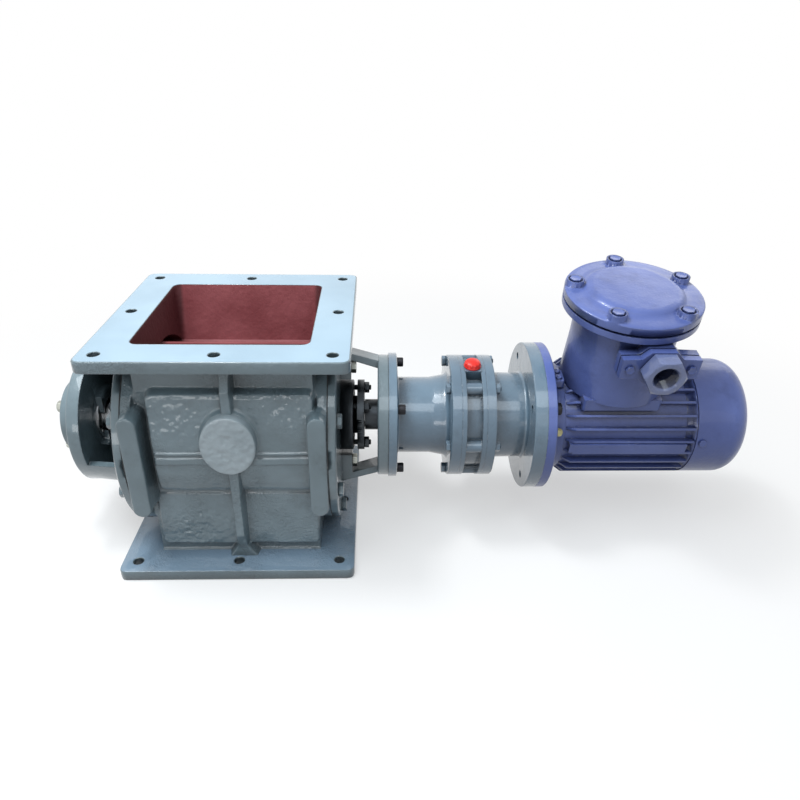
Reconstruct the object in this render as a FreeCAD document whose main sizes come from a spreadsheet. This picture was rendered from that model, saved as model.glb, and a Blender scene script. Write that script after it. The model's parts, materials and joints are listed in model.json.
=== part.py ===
import FreeCAD, Part
import Sketcher
import math
import os

# Rotary airlock valve with a cycloidal reducer and a flameproof motor.
# Every piece is drawn about the shaft axis: X runs along the shaft toward the motor, Z is up.
# Each piece is then lifted to the height of the shaft over the outlet flange face.
# The pieces of the drive are also rolled a little about the shaft, as they are fitted.

SIZES = {
    # valve housing
    "flange_side": 300.0,
    "flange_thick": 15.0,
    "flange_corner": 9.0,
    "shaft_room": 145.0,
    "roof_room": 135.0,
    "throat_side": 205.0,
    "throat_corner": 10.0,
    "throat_low": 160.0,
    "throat_depth": 78.0,
    "hole_margin": 20.0,
    "hole_wide": 13.0,
    "bore_radius": 108.0,
    "bore_half": 120.0,
    "end_plate_thick": 14.0,
    "pad_reach": 137.0,
    "pad_wide": 22.0,
    "pad_top": 73.0,
    "pad_low": 67.0,
    "neck_reach": 111.0,
    "wall_half": 106.0,
    "barrel_reach": 123.0,
    "boss_radius": 32.0,
    "boss_up": 28.0,
    "boss_reach": 137.0,
    "rib_thick": 13.0,
    "rib_reach": 129.0,
    # covers and shaft seals
    "gasket_thick": 1.0,
    "cover_thick": 10.0,
    "cover_lap": 30.0,
    "cover_bolt_margin": 13.0,
    "cover_bolt_turn": 26.0,
    "seal_bore": 26.1,
    "seal_outer": 48.0,
    "seal_spigot": 30.0,
    "seal_long": 17.0,
    "stud_circle": 39.0,
    "stud_radius": 4.0,
    "gland_gap": 5.0,
    "gland_thick": 9.0,
    # outboard lantern and bearing
    "lantern_near": 93.0,
    "lantern_far": 87.0,
    "lantern_wall": 10.0,
    "lantern_long": 59.0,
    "window_floor": 28.0,
    "bearing_plate_thick": 16.0,
    "bearing_outer": 31.0,
    "bearing_wide": 16.0,
    "cap_long": 24.0,
    "cap_radius": 56.0,
    "cap_bolt_circle": 39.0,
    # rotor
    "rotor_gap": 0.3,
    "rotor_turn": 1.0,
    "vane_thick": 6.0,
    "rotor_hub": 35.0,
    "shaft_radius": 17.5,
    "journal_radius": 15.0,
    # bracket between valve and reducer
    "bracket_plate_left": 180.0,
    "bracket_plate_right": 194.4,
    "bracket_radius": 82.6,
    "bracket_arm_wide": 28.0,
    "bracket_arm_turn": 7.0,
    # reducer
    "drive_roll": 10.5,
    "output_flange_right": 205.6,
    "output_flange_radius": 85.0,
    "reducer_bolt_circle": 73.0,
    "output_neck": 52.0,
    "rim_radius": 82.6,
    "rim_left": 273.8,
    "ring_left": 288.0,
    "ring_right": 320.0,
    "ring_rim_thick": 6.0,
    "ring_waist": 70.0,
    "tie_circle": 74.0,
    "pin_circle": 62.0,
    "pin_radius": 3.5,
    "pin_count": 30.0,
    "throw": 1.25,
    "disc_thick": 10.0,
    "drive_pin_circle": 36.0,
    "drive_pin_radius": 4.5,
    "hub_radius": 21.0,
    "lobe_radius": 15.0,
    "roller_radius": 3.0,
    "adapter_rim_right": 331.6,
    "adapter_neck": 58.0,
    "adapter_disc_left": 376.5,
    "adapter_disc_right": 393.0,
    # motor
    "motor_flange_radius": 100.0,
    "motor_flange_right": 405.0,
    "motor_bolt_circle": 82.5,
    "spigot_radius": 65.0,
    "frame_left": 422.0,
    "frame_right": 582.0,
    "frame_inner": 65.0,
    "frame_outer": 70.5,
    "fin_radius": 79.0,
    "fin_thick": 3.2,
    "core_left": 440.0,
    "core_long": 100.0,
    "core_radius": 39.5,
    "fan_cover_left": 593.7,
    "fan_cover_right": 668.0,
    "fan_cover_radius": 78.6,
    "sheet_thick": 2.0,
    # terminal box
    "box_along": 491.0,
    "box_seat": 68.0,
    "skirt_low": 55.0,
    "box_radius": 65.0,
    "box_flange_top": 182.0,
    "lid_radius": 83.0,
    "lid_bolt_circle": 71.0,
    "entry_along": 505.0,
    "entry_up": 149.0,
    "entry_bore": 14.0,
    # clearances
    "slip": 0.02,
    "thread_gap": 0.02,
}

doc = FreeCAD.newDocument("RotaryAirlock")
V = FreeCAD.Vector
sheet = doc.addObject("Spreadsheet::Sheet", "dims")
for row, (word, amount) in enumerate(SIZES.items(), start=1):
    sheet.set("A%d" % row, word)
    sheet.set("B%d" % row, str(amount))
    sheet.setAlias("B%d" % row, word)
doc.recompute()


class Size:
    """A length that carries its number and the sheet formula that gives it."""

    def __init__(self, number, text):
        self.number = number
        self.text = text

    @staticmethod
    def of(other):
        if isinstance(other, Size):
            return other
        return Size(float(other), "(%.9f)" % float(other))

    def __add__(self, other):
        other = Size.of(other)
        return Size(self.number + other.number, "(%s + %s)" % (self.text, other.text))

    def __sub__(self, other):
        other = Size.of(other)
        return Size(self.number - other.number, "(%s - %s)" % (self.text, other.text))

    def __mul__(self, other):
        other = Size.of(other)
        return Size(self.number * other.number, "(%s * %s)" % (self.text, other.text))

    def __truediv__(self, other):
        other = Size.of(other)
        return Size(self.number / other.number, "(%s / %s)" % (self.text, other.text))

    def __neg__(self):
        return Size(-self.number, "(-1 * %s)" % self.text)

    def __radd__(self, other):
        return Size.of(other) + self

    def __rsub__(self, other):
        return Size.of(other) - self

    def __rmul__(self, other):
        return Size.of(other) * self


class Sheet:
    """The sizes of the sheet by name."""

    def __getattr__(self, word):
        return Size(float(sheet.get(word)), "dims." + word)


D = Sheet()


def number(value):
    return value.number if isinstance(value, Size) else float(value)


def cosine(angle):
    """Cosine of an angle in degrees, as a number or as a formula."""
    if isinstance(angle, Size):
        return Size(math.cos(math.radians(angle.number)), "cos(%s * 1 deg)" % angle.text)
    return math.cos(math.radians(angle))


def sine(angle):
    if isinstance(angle, Size):
        return Size(math.sin(math.radians(angle.number)), "sin(%s * 1 deg)" % angle.text)
    return math.sin(math.radians(angle))


def bind(thing, name, value):
    """Give a property its number, and its formula where it has one."""
    if not name.startswith("."):
        setattr(thing, name, number(value))
    if isinstance(value, Size):
        thing.setExpression(name, value.text)


counter = [0]


def fresh(word):
    counter[0] += 1
    return "%s_%03d" % (word, counter[0])


def put(thing, base, toward=(0, 0, 1)):
    """Place a primitive at base with its own Z axis along toward."""
    turn = FreeCAD.Rotation(V(0, 0, 1), V(*toward))
    thing.Placement = FreeCAD.Placement(V(*[number(c) for c in base]), turn)
    for letter, value in zip("xyz", base):
        if isinstance(value, Size):
            thing.setExpression(".Placement.Base." + letter, value.text)
    return thing


X_UP = (1, 0, 0)
X_DOWN = (-1, 0, 0)
Z_UP = (0, 0, 1)
Z_DOWN = (0, 0, -1)
FRONT = (0, -1, 0)
BACK = (0, 1, 0)


def rod(base, toward, radius, long):
    thing = doc.addObject("Part::Cylinder", fresh("rod"))
    bind(thing, "Radius", radius)
    bind(thing, "Height", long)
    return put(thing, base, toward)


def hexagon(base, toward, corner, long):
    thing = doc.addObject("Part::Prism", fresh("hexagon"))
    thing.Polygon = 6
    bind(thing, "Circumradius", corner)
    bind(thing, "Height", long)
    return put(thing, base, toward)


def ball(base, radius):
    thing = doc.addObject("Part::Sphere", fresh("ball"))
    bind(thing, "Radius", radius)
    return put(thing, base)


def block(low, sides):
    thing = doc.addObject("Part::Box", fresh("block"))
    for name, value in zip(("Length", "Width", "Height"), sides):
        bind(thing, name, value)
    return put(thing, low)


def fuse(*things):
    if len(things) == 1:
        return things[0]
    joined = doc.addObject("Part::MultiFuse", fresh("join"))
    joined.Shapes = list(things)
    return joined


def cut(base, *tools):
    made = doc.addObject("Part::Cut", fresh("cut"))
    made.Base = base
    made.Tool = fuse(*tools)
    return made


def group(*things):
    made = doc.addObject("Part::Compound", fresh("group"))
    made.Links = list(things)
    return made


def origin_plane(body, role):
    for feature in body.Origin.OriginFeatures:
        if feature.Role == role:
            return feature


def outline(sketch, points):
    """Closed outline. A point is (a, b), or (a, b, radius) where an arc follows it.

    A positive radius bends to the left of the way round, a negative one to the right.
    """
    count = len(points)
    ends = []
    for i, p in enumerate(points):
        q = points[(i + 1) % count]
        a = V(number(p[0]), number(p[1]), 0)
        b = V(number(q[0]), number(q[1]), 0)
        if len(p) == 2:
            sketch.addGeometry(Part.LineSegment(a, b), False)
            ends.append((1, 2))
            continue
        bend = number(p[2])
        way = b - a
        left = V(-way.y, way.x, 0).normalize()
        lift = math.sqrt(max(bend * bend - way.Length ** 2 / 4, 0))
        centre = (a + b) * 0.5 + left * math.copysign(lift, bend)
        first, last = (a, b) if bend > 0 else (b, a)
        start = math.atan2(first.y - centre.y, first.x - centre.x)
        stop = math.atan2(last.y - centre.y, last.x - centre.x)
        if stop < start:
            stop += 2 * math.pi
        circle = Part.Circle(centre, V(0, 0, 1), abs(bend))
        sketch.addGeometry(Part.ArcOfCircle(circle, start, stop), False)
        ends.append((1, 2) if bend > 0 else (2, 1))
    for i in range(count):
        j = (i + 1) % count
        sketch.addConstraint(Sketcher.Constraint("Coincident", i, ends[i][1], j, ends[j][0]))
    for i, p in enumerate(points):
        for kind, axis, value in (("DistanceX", -2, p[0]), ("DistanceY", -1, p[1])):
            if not isinstance(value, Size) and value == 0:
                rule = Sketcher.Constraint("PointOnObject", i, ends[i][0], axis)
                sketch.addConstraint(rule)
                continue
            rule = Sketcher.Constraint(kind, i, ends[i][0], number(value))
            place = sketch.addConstraint(rule)
            if isinstance(value, Size):
                sketch.setExpression("Constraints[%d]" % place, value.text)
        if len(p) == 3:
            bend = p[2]
            if number(bend) < 0:
                bend = -bend
            place = sketch.addConstraint(Sketcher.Constraint("Radius", i, number(bend)))
            if isinstance(bend, Size):
                sketch.setExpression("Constraints[%d]" % place, bend.text)


def sketch_on(body, role, points, offset=0):
    sketch = body.newObject("Sketcher::SketchObject", fresh("outline"))
    sketch.AttachmentSupport = [(origin_plane(body, role), "")]
    sketch.MapMode = "FlatFace"
    sketch.AttachmentOffset = FreeCAD.Placement(V(0, 0, number(offset)), FreeCAD.Rotation())
    if isinstance(offset, Size):
        sketch.setExpression(".AttachmentOffset.Base.z", offset.text)
    outline(sketch, points)
    return sketch


def turned(points, axis="H_Axis"):
    """A piece turned about the shaft: points are (along X, radius)."""
    body = doc.addObject("PartDesign::Body", fresh("turned"))
    sketch = sketch_on(body, "XZ_Plane", points)
    turn = body.newObject("PartDesign::Revolution", fresh("turn"))
    turn.Profile = sketch
    turn.ReferenceAxis = (sketch, [axis])
    turn.Angle = 360
    body.Tip = turn
    return body


def padded(role, points, start, long):
    """A plate: an outline on an origin plane, from start along its normal."""
    body = doc.addObject("PartDesign::Body", fresh("plate"))
    sketch = sketch_on(body, role, points, start)
    pad = body.newObject("PartDesign::Pad", fresh("pad"))
    pad.Profile = sketch
    bind(pad, "Length", long)
    body.Tip = pad
    return body


def finned(points, role, fin_points, thick, count):
    """A turned core with one flat blade repeated round it."""
    body = turned(points)
    doc.recompute()
    sketch = sketch_on(body, role, fin_points, -thick / 2)
    pad = body.newObject("PartDesign::Pad", fresh("blade"))
    pad.Profile = sketch
    bind(pad, "Length", thick)
    body.Tip = pad
    doc.recompute()
    ring = body.newObject("PartDesign::PolarPattern", fresh("ring"))
    ring.Originals = [pad]
    ring.Axis = (origin_plane(body, "X_Axis"), [""])
    ring.Angle = 360
    ring.Occurrences = count
    body.Tip = ring
    doc.recompute()
    return body


def rounded(half_a, half_b, corner):
    """Points of a rectangle with round corners, centred on the sketch's origin."""
    a = half_a - corner
    b = half_b - corner
    return [
        (a, -half_b, corner), (half_a, -b), (half_a, b, corner), (a, half_b),
        (-a, half_b, corner), (-half_a, b), (-half_a, -b, corner), (-a, -half_b),
    ]


def moved(thing, angle=0):
    """Turn a built thing about the shaft by an angle in degrees."""
    thing.Placement = FreeCAD.Placement(V(0, 0, 0), FreeCAD.Rotation(V(1, 0, 0), number(angle)))
    if isinstance(angle, Size):
        thing.setExpression(".Placement.Rotation.Angle", "%s * 1 deg" % angle.text)
    return thing


def round_at(radius, angle):
    """The Y and Z of a point at a radius, with the angle from the front (-Y) upward."""
    return -(radius * cosine(angle)), radius * sine(angle)


def ring_of(count, first=0.0):
    return [first + 360.0 * k / count for k in range(count)]


def bolt(base, toward, radius, long, head, tall, kind="hex"):
    """A screw: base is under its head, toward is the way it goes in."""
    away = tuple(-c for c in toward)
    if kind == "hex":
        top = hexagon(base, away, head, tall)
    elif kind == "socket":
        full = rod(base, away, head, tall)
        seat = tuple(b + a * (number(tall) * 0.45) if a else b for b, a in zip(base, away))
        top = cut(full, hexagon(seat, away, number(head) * 0.55, tall))
    else:
        top = rod(base, away, head, tall)
    return fuse(top, rod(base, toward, radius, long))


NODES = {}


def keep(label, thing, rolled=False):
    """Name a finished piece and lift it to the shaft's height."""
    thing.Label = label
    angle = D.drive_roll if rolled else 0
    shaft_up = D.shaft_room + D.flange_thick
    thing.Placement = FreeCAD.Placement(
        V(0, 0, shaft_up.number), FreeCAD.Rotation(V(1, 0, 0), number(angle))
    )
    thing.setExpression(".Placement.Base.z", shaft_up.text)
    if rolled:
        thing.setExpression(".Placement.Rotation.Angle", "dims.drive_roll * 1 deg")
    NODES[label] = thing


# valve housing: two square flanges, throats, a barrel with end plates, bosses and ribs
under = D.roof_room
top = under + D.flange_thick
over = -D.shaft_room
foot = over - D.flange_thick
cover_radius = D.bore_radius + D.cover_lap
bolt_circle = cover_radius - D.cover_bolt_margin
half = D.flange_side / 2
flange_points = rounded(half, half, D.flange_corner)
top_flange = padded("XY_Plane", flange_points, under, D.flange_thick)
low_flange = padded("XY_Plane", flange_points, foot, D.flange_thick)
neck = D.neck_reach
barrel = D.barrel_reach
plate_left = D.bore_half - D.end_plate_thick


def front_and_back(side):
    """A closed outline from its front half, given from the top down, and its mirror image."""
    return [(-a, b) for a, b in side] + [(a, b) for a, b in reversed(side)]


shell = padded("YZ_Plane", front_and_back([
    (neck + 5, under + 1), (neck + 1, under - 4), (neck, under - 9), (neck, 104), (neck + 2, 99),
    (barrel - 6, 95), (barrel - 3, 91), (barrel, 46), (barrel + 1, 0), (barrel - 1, -42),
    (barrel - 4, -48), (neck + 2, -55), (neck, -60), (neck, over + 9), (neck + 1, over + 4),
    (neck + 5, over - 1),
]), -(D.wall_half - 5), (D.wall_half - 5) * 2)
slim = neck - 3
throat_box = block((-D.wall_half, -slim, over - 1), (D.wall_half * 2, slim * 2, under - over + 2))
hub_shell = rod((-plate_left - 1, 0, 0), X_UP, D.bore_radius + 12, (plate_left + 1) * 2)
parts = [top_flange, low_flange, shell, throat_box, hub_shell]
pad_half = D.pad_wide / 2
for sign in (-1, 1):
    start = plate_left if sign > 0 else -D.bore_half
    parts.append(rod((start, 0, 0), X_UP, cover_radius + 1, D.end_plate_thick))
    web = block((start, -slim, over - 1), (D.end_plate_thick - 3, slim * 2, under - over + 2))
    parts.append(web)
    middle = (D.bore_half - 0.5 - pad_half) * sign
    for low in (-D.pad_reach, 100.0):
        bar = block((middle - pad_half, low, -D.pad_low + pad_half),
                    (D.pad_wide, D.pad_reach - 100, D.pad_top + D.pad_low - D.pad_wide))
        parts.append(bar)
        for level in (D.pad_top - pad_half, pad_half - D.pad_low):
            parts.append(rod((middle, low, level), BACK, pad_half, D.pad_reach - 100))
rib_long = D.rib_reach - 90
rib_points = [
    (-90, under + 1), (-(D.rib_reach - 11), under + 1), (-(D.rib_reach - 11), under - 12),
    (-D.rib_reach, under - 34), (-D.rib_reach, over + 40), (-(D.rib_reach - 8), over + 14),
    (-(D.rib_reach - 8), over - 1), (-90, over - 1),
]
rib_half = D.rib_thick / 2
parts.append(padded("YZ_Plane", rib_points, -rib_half, D.rib_thick))
parts.append(padded("YZ_Plane", [(-a, b) for a, b in reversed(rib_points)], -rib_half, D.rib_thick))
for sign, toward in ((-1, FRONT), (1, BACK)):
    parts.append(rod((0, sign * 90, D.boss_up), toward, D.boss_radius, D.boss_reach - 90))
    parts.append(rod((0, sign * 90, D.boss_up), toward, D.boss_radius + 3, barrel - 90 + 3))
    for band in (9.0, -1.0):
        low = -(barrel + 3) if sign < 0 else barrel - 10
        parts.append(block((-(plate_left - 9), low, band - 2), ((plate_left - 9) * 2, 13, 4)))
casting = fuse(*parts)
bore = rod((-D.bore_half - 1, 0, 0), X_UP, D.bore_radius, D.bore_half * 2 + 2)


def throat(sign):
    """A throat: wide at the flange face and narrower across the shaft at the bore."""
    body = doc.addObject("PartDesign::Body", fresh("throat"))
    near = D.throat_side / 2
    far = D.throat_low / 2
    waist = D.wall_half - 12
    outer_level = top + 1 if sign > 0 else foot - 1
    outer = sketch_on(body, "XY_Plane", rounded(near, near, D.throat_corner), outer_level)
    inner_level = top - D.throat_depth if sign > 0 else foot + D.throat_depth + 10
    inner = sketch_on(body, "XY_Plane", rounded(waist, far, D.throat_corner), inner_level)
    loft = body.newObject("PartDesign::AdditiveLoft", fresh("loft"))
    loft.Profile = outer
    loft.Sections = [inner]
    loft.Ruled = True
    body.Tip = loft
    return body


holes = []
pitch = half - D.hole_margin
for level in (top + 1, over + 1):
    for a, b in ((-1, -1), (-1, 1), (1, -1), (1, 1), (0, -1), (0, 1), (-1, 0), (1, 0)):
        base = (pitch * a if a else 0, pitch * b if b else 0, level)
        holes.append(rod(base, Z_DOWN, D.hole_wide / 2, D.flange_thick + 2))
for angle in ring_of(8, D.cover_bolt_turn.number):
    y, z = round_at(bolt_circle, angle)
    holes.append(rod((-D.bore_half - 1, y, z), X_UP, D.thread_gap + 5, 18))
    holes.append(rod((D.bore_half + 1, y, z), X_DOWN, D.thread_gap + 5, 18))
keep("valve_body", cut(casting, bore, throat(1), throat(-1), *holes))

# end covers, gaskets and their bolts
gaskets = []
cover_bolts = []
face = D.bore_half + D.gasket_thick
out = face + D.cover_thick


def above(sign):
    """What is taken off a round cover so that it ends flat below the top flange."""
    left = D.bore_half - 1 if sign > 0 else -(D.bore_half + 20)
    roof = block((left, -cover_radius, under - 0.3), (21, cover_radius * 2, 30))
    spot = pitch if sign > 0 else -pitch
    high_nut = rod((spot, 0, under - 13), Z_UP, 11, 14)
    low_nut = rod((spot, 0, over - 1), Z_UP, 11, 14)
    return fuse(roof, high_nut, low_nut)


for sign, way in ((-1, X_DOWN), (1, X_UP)):
    points = [(D.bore_half * sign, D.bore_radius + 1), (D.bore_half * sign, cover_radius),
              (face * sign, cover_radius), (face * sign, D.bore_radius + 1)]
    flat = turned(points)
    clear = []
    for angle in ring_of(8, D.cover_bolt_turn.number):
        y, z = round_at(bolt_circle, angle)
        clear.append(rod((D.bore_half * sign, y, z), way, 5.5, 3))
        back = tuple(-c for c in way)
        cover_bolts.append(bolt((out * sign, y, z), back, 5.0, 26, 9.2, 6.5))
    gaskets.append(cut(flat, above(sign), *clear))
keep("cover_gaskets", group(*gaskets))
keep("cover_bolts", group(*cover_bolts))

lantern_end = out + D.lantern_long
bearing_face = lantern_end + D.bearing_plate_thick
wall = D.lantern_wall
outboard = turned([
    (-face, D.seal_spigot + D.slip), (-face, cover_radius), (-(out - 1.5), cover_radius),
    (-out, cover_radius - 1.5), (-out, D.lantern_near + 6), (-(out + 5), D.lantern_near),
    (-lantern_end, D.lantern_far), (-(bearing_face - 3), D.lantern_far), (-bearing_face, D.lantern_far - 3),
    (-bearing_face, D.bearing_outer + D.slip), (-(bearing_face - 18), D.bearing_outer + D.slip),
    (-(bearing_face - 18), 24), (-(bearing_face - 24), 24), (-(bearing_face - 24), 42), (-lantern_end, 42),
    (-lantern_end, D.lantern_far - wall),
    (-out, D.lantern_near - wall), (-out, D.seal_spigot + D.slip),
])
window = block((-(lantern_end - 0.5), -120, -D.window_floor), (D.lantern_long - 1, 100, 150))
covers = [window, above(-1)]
for angle in ring_of(8, D.cover_bolt_turn.number):
    y, z = round_at(bolt_circle, angle)
    covers.append(rod((-face + 1, y, z), X_DOWN, 5.3, D.cover_thick + 2))
for angle in ring_of(4, 45):
    y, z = round_at(D.cap_bolt_circle, angle)
    covers.append(rod((-bearing_face - 1, y, z), X_UP, D.thread_gap + 4, 16))
plug_y, plug_z = round_at(70, -58)
drain_way = (0, -math.cos(math.radians(-58)), math.sin(math.radians(-58)))
covers.append(rod((-(out + 24), plug_y, plug_z), drain_way, D.thread_gap + 5, 40))
keep("cover_outboard", cut(outboard, *covers))
plug_seat = round_at(92, -58)
plug = fuse(
    rod((-(out + 24), round_at(78, -58)[0], round_at(78, -58)[1]), drain_way, 5.0, 14.2),
    hexagon((-(out + 24), plug_seat[0], plug_seat[1]), drain_way, 8.5, 6),
)
keep("drain_plug", plug)

drive_cover = turned([
    (face, D.seal_spigot + D.slip), (out, D.seal_spigot + D.slip), (out, cover_radius - 1.5),
    (out - 1.5, cover_radius), (face, cover_radius),
])
holes = [above(1)]
for angle in ring_of(8, D.cover_bolt_turn.number):
    y, z = round_at(bolt_circle, angle)
    holes.append(rod((face - 1, y, z), X_UP, 5.3, D.cover_thick + 2))
arm_angles = (D.bracket_arm_turn + 90, D.bracket_arm_turn - 90)
for angle in arm_angles:
    y, z = round_at(70, angle)
    holes.append(rod((out + 1, y, z), X_DOWN, D.thread_gap + 5, 8.5))
keep("cover_drive", cut(drive_cover, *holes))

# shaft seals: box, packing rings, follower, studs and nuts on each side
packing = []
studs = []
nuts = []
for sign, way, label in ((-1, X_DOWN, "outboard"), (1, X_UP, "drive")):
    end = out + D.seal_long
    sleeve = turned([
        ((face + 0.5) * sign, D.shaft_radius + 0.5), ((face + 4) * sign, D.shaft_radius + 0.5),
        ((face + 4) * sign, D.seal_bore), (end * sign, D.seal_bore), (end * sign, D.seal_outer - 1),
        ((end - 1) * sign, D.seal_outer), (out * sign, D.seal_outer),
        (out * sign, D.seal_spigot), ((face + 0.5) * sign, D.seal_spigot),
    ])
    stud_holes = []
    follower_holes = []
    seat = end + D.gland_gap
    cap = seat + D.gland_thick
    for angle in ring_of(4, 45):
        y, z = round_at(D.stud_circle, angle)
        stud_holes.append(rod(((out + 5) * sign, y, z), way, D.stud_radius + D.thread_gap, 20))
        follower_holes.append(rod(((seat - 1) * sign, y, z), way, D.stud_radius + 0.3, 20))
        studs.append(rod(((out + 5.2) * sign, y, z), way, D.stud_radius, 35))
        nut = hexagon((cap * sign, y, z), way, 7.6, 6.5)
        nuts.append(cut(nut, rod((cap * sign, y, z), way, D.stud_radius + D.thread_gap, 7)))
    keep("stuffing_box_" + label, cut(sleeve, *stud_holes))
    follower = turned([
        ((end - 4) * sign, D.shaft_radius + 0.5), ((end - 4) * sign, D.seal_bore - 0.2),
        (seat * sign, D.seal_bore - 0.2), (seat * sign, D.seal_outer), (cap * sign, D.seal_outer),
        (cap * sign, D.shaft_radius + 0.5),
    ])
    keep("gland_" + label, cut(follower, *follower_holes))
    for k in range(3):
        left = face + 4.2 + 6.0 * k
        packing.append(turned([
            (left * sign, D.shaft_radius + 0.05), (left * sign, D.seal_bore - 0.05),
            ((left + 5.9) * sign, D.seal_bore - 0.05), ((left + 5.9) * sign, D.shaft_radius + 0.05),
        ]))
keep("packing_rings", group(*packing))
keep("gland_studs", group(*studs))
keep("gland_nuts", group(*nuts))


def ring(left, long, inner, outer):
    return turned([(left, inner), (left, outer), (left + long, outer), (left + long, inner)])


def balls(centre, pitch_radius, radius, count):
    made = []
    for angle in ring_of(count, 10.0):
        y, z = round_at(pitch_radius, angle)
        made.append(ball((centre, y, z), radius))
    return made


# outboard bearing and its cap
bearing_left = -(bearing_face - 2)
keep("outboard_bearing_outer", group(
    ring(bearing_left, D.bearing_wide, 27.9, D.bearing_outer),
    *balls(bearing_left + D.bearing_wide / 2, 23.0, 4.75, 9)))
keep("outboard_bearing_inner", ring(bearing_left, D.bearing_wide, D.journal_radius + 0.01, 18.1))
cap_face = -(bearing_face + D.cap_long)
rim = D.cap_radius
cap = turned([
    (-bearing_face, 26), (-bearing_face, rim), (-(bearing_face + 6), rim),
    (-(bearing_face + 7.5), rim - 1.5),
    (-(bearing_face + 8), rim - 5), (-(bearing_face + 15), rim - 6), (-(bearing_face + 16), rim - 8),
    (cap_face + 1, rim - 8), (cap_face, rim - 9), (cap_face, 0),
    (-(bearing_face + 18), 0), (-(bearing_face + 18), 26),
])
holes = []
cap_bolts = []
for angle in ring_of(4, 45):
    y, z = round_at(D.cap_bolt_circle, angle)
    holes.append(rod((cap_face - 1, y, z), X_UP, 4.3, D.cap_long + 2))
    cap_bolts.append(bolt((cap_face, y, z), X_UP, 4.0, D.cap_long + 14, 7.6, 5.5))
keep("bearing_cap", cut(cap, *holes))
keep("cap_bolts", group(*cap_bolts))

# rotor, its shaft and keys
tip = D.bore_radius - D.rotor_gap
rotor_half = D.bore_half + D.gasket_thick - D.rotor_gap
rotor = finned(
    [(-rotor_half, D.shaft_radius + D.slip), (-rotor_half, D.rotor_hub),
     (rotor_half, D.rotor_hub), (rotor_half, D.shaft_radius + D.slip)],
    "XZ_Plane",
    [(-rotor_half, D.rotor_hub - 6), (-rotor_half, tip), (rotor_half, tip), (rotor_half, D.rotor_hub - 6)],
    D.vane_thick, 8)
turned_rotor = group(moved(rotor, D.rotor_turn))
keyway = block((-32, -5.02, 0), (64, 10.04, 21.6))
keep("rotor", cut(turned_rotor, keyway))
shaft = turned([
    (-(bearing_face + 6), 0), (-(bearing_face + 6), D.journal_radius - 1),
    (-(bearing_face + 5), D.journal_radius), (-(bearing_face - 20), D.journal_radius),
    (-(bearing_face - 20), D.shaft_radius), (162, D.shaft_radius), (162, D.journal_radius),
    (239, D.journal_radius), (240, D.journal_radius - 1), (240, 0),
])
keep("rotor_shaft", cut(shaft, block((-30, -5, 13.4), (60, 10, 10)), block((185, -4, 11), (45, 8, 10))))
keep("hub_key", group(block((-30, -5, 13.5), (60, 10, 8))))
keep("output_key", group(block((185, -4, 11.05), (45, 8, 6.9))))

# bracket between the drive cover and the reducer
left = D.bracket_plate_left
right = D.bracket_plate_right
plate = turned([
    (left, 30), (left, D.bracket_radius - 1.5), (left + 1.5, D.bracket_radius),
    (right, D.bracket_radius), (right, 30),
])
arm_points = [
    (out, 56), (out, 96), (left + 1, D.bracket_radius - 0.5), (left + 1, D.bracket_radius - 11),
    (out + 14, 83), (out + 14, 56),
]
wide = D.bracket_arm_wide
arms = [
    moved(padded("XZ_Plane", arm_points, -wide / 2, wide), -D.bracket_arm_turn),
    moved(padded("XZ_Plane", arm_points, -wide / 2, wide), 180 - D.bracket_arm_turn),
]
holes = []
bracket_bolts = []
for angle in arm_angles:
    y, z = round_at(70, angle)
    holes.append(rod((out - 1, y, z), X_UP, 5.3, 18))
    bracket_bolts.append(bolt((out + 14, y, z), X_DOWN, 5.0, 21, 9.2, 6.5))
reducer_bolts = []
for angle in ring_of(4, 45):
    world = angle - D.drive_roll
    y, z = round_at(D.reducer_bolt_circle, world)
    holes.append(rod((right + 1, y, z), X_DOWN, D.thread_gap + 4, 14))
    y, z = round_at(D.reducer_bolt_circle, angle)
    reducer_bolts.append(bolt((D.output_flange_right, y, z), X_DOWN, 4.0, 23, 6.5, 10, "socket"))
keep("bracket", cut(fuse(plate, *arms), *holes))
keep("bracket_bolts", group(*bracket_bolts))
keep("reducer_bolts", group(*reducer_bolts), True)

# reducer housing: output side
neck = D.output_neck
rim = D.rim_radius
housing = turned([
    (right, 26), (right, D.output_flange_radius), (D.output_flange_right - 1, D.output_flange_radius),
    (D.output_flange_right, D.output_flange_radius - 1), (D.output_flange_right, neck + 4, 4),
    (D.output_flange_right + 4, neck), (250, neck), (266, neck + 3, 9), (D.rim_left, neck + 9),
    (D.rim_left, rim - 1.5), (D.rim_left + 1.5, rim), (D.ring_left, rim), (D.ring_left, 56), (272, 56),
    (272, 48), (250.2, 48), (250.2, 40.02), (198, 40.02), (198, 26),
])
holes = []
for angle in ring_of(4, 45):
    y, z = round_at(D.reducer_bolt_circle, angle)
    holes.append(rod((right - 1, y, z), X_UP, 4.4, 14))
tie_holes = []
tie_bolts = []
for angle in ring_of(6, 6.5):
    y, z = round_at(D.tie_circle, angle)
    tie_holes.append((y, z))
    holes.append(rod((D.rim_left - 1, y, z), X_UP, 4.3, 18))
    tie = fuse(
        hexagon((D.rim_left, y, z), X_DOWN, 7.4, 5.5),
        rod((D.rim_left, y, z), X_UP, 4.0, D.adapter_rim_right - D.rim_left + 8),
        hexagon((D.adapter_rim_right, y, z), X_UP, 7.4, 6.5),
    )
    tie_bolts.append(tie)
keep("output_housing", cut(housing, *holes), True)
keep("tie_bolts", group(*tie_bolts), True)

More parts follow.
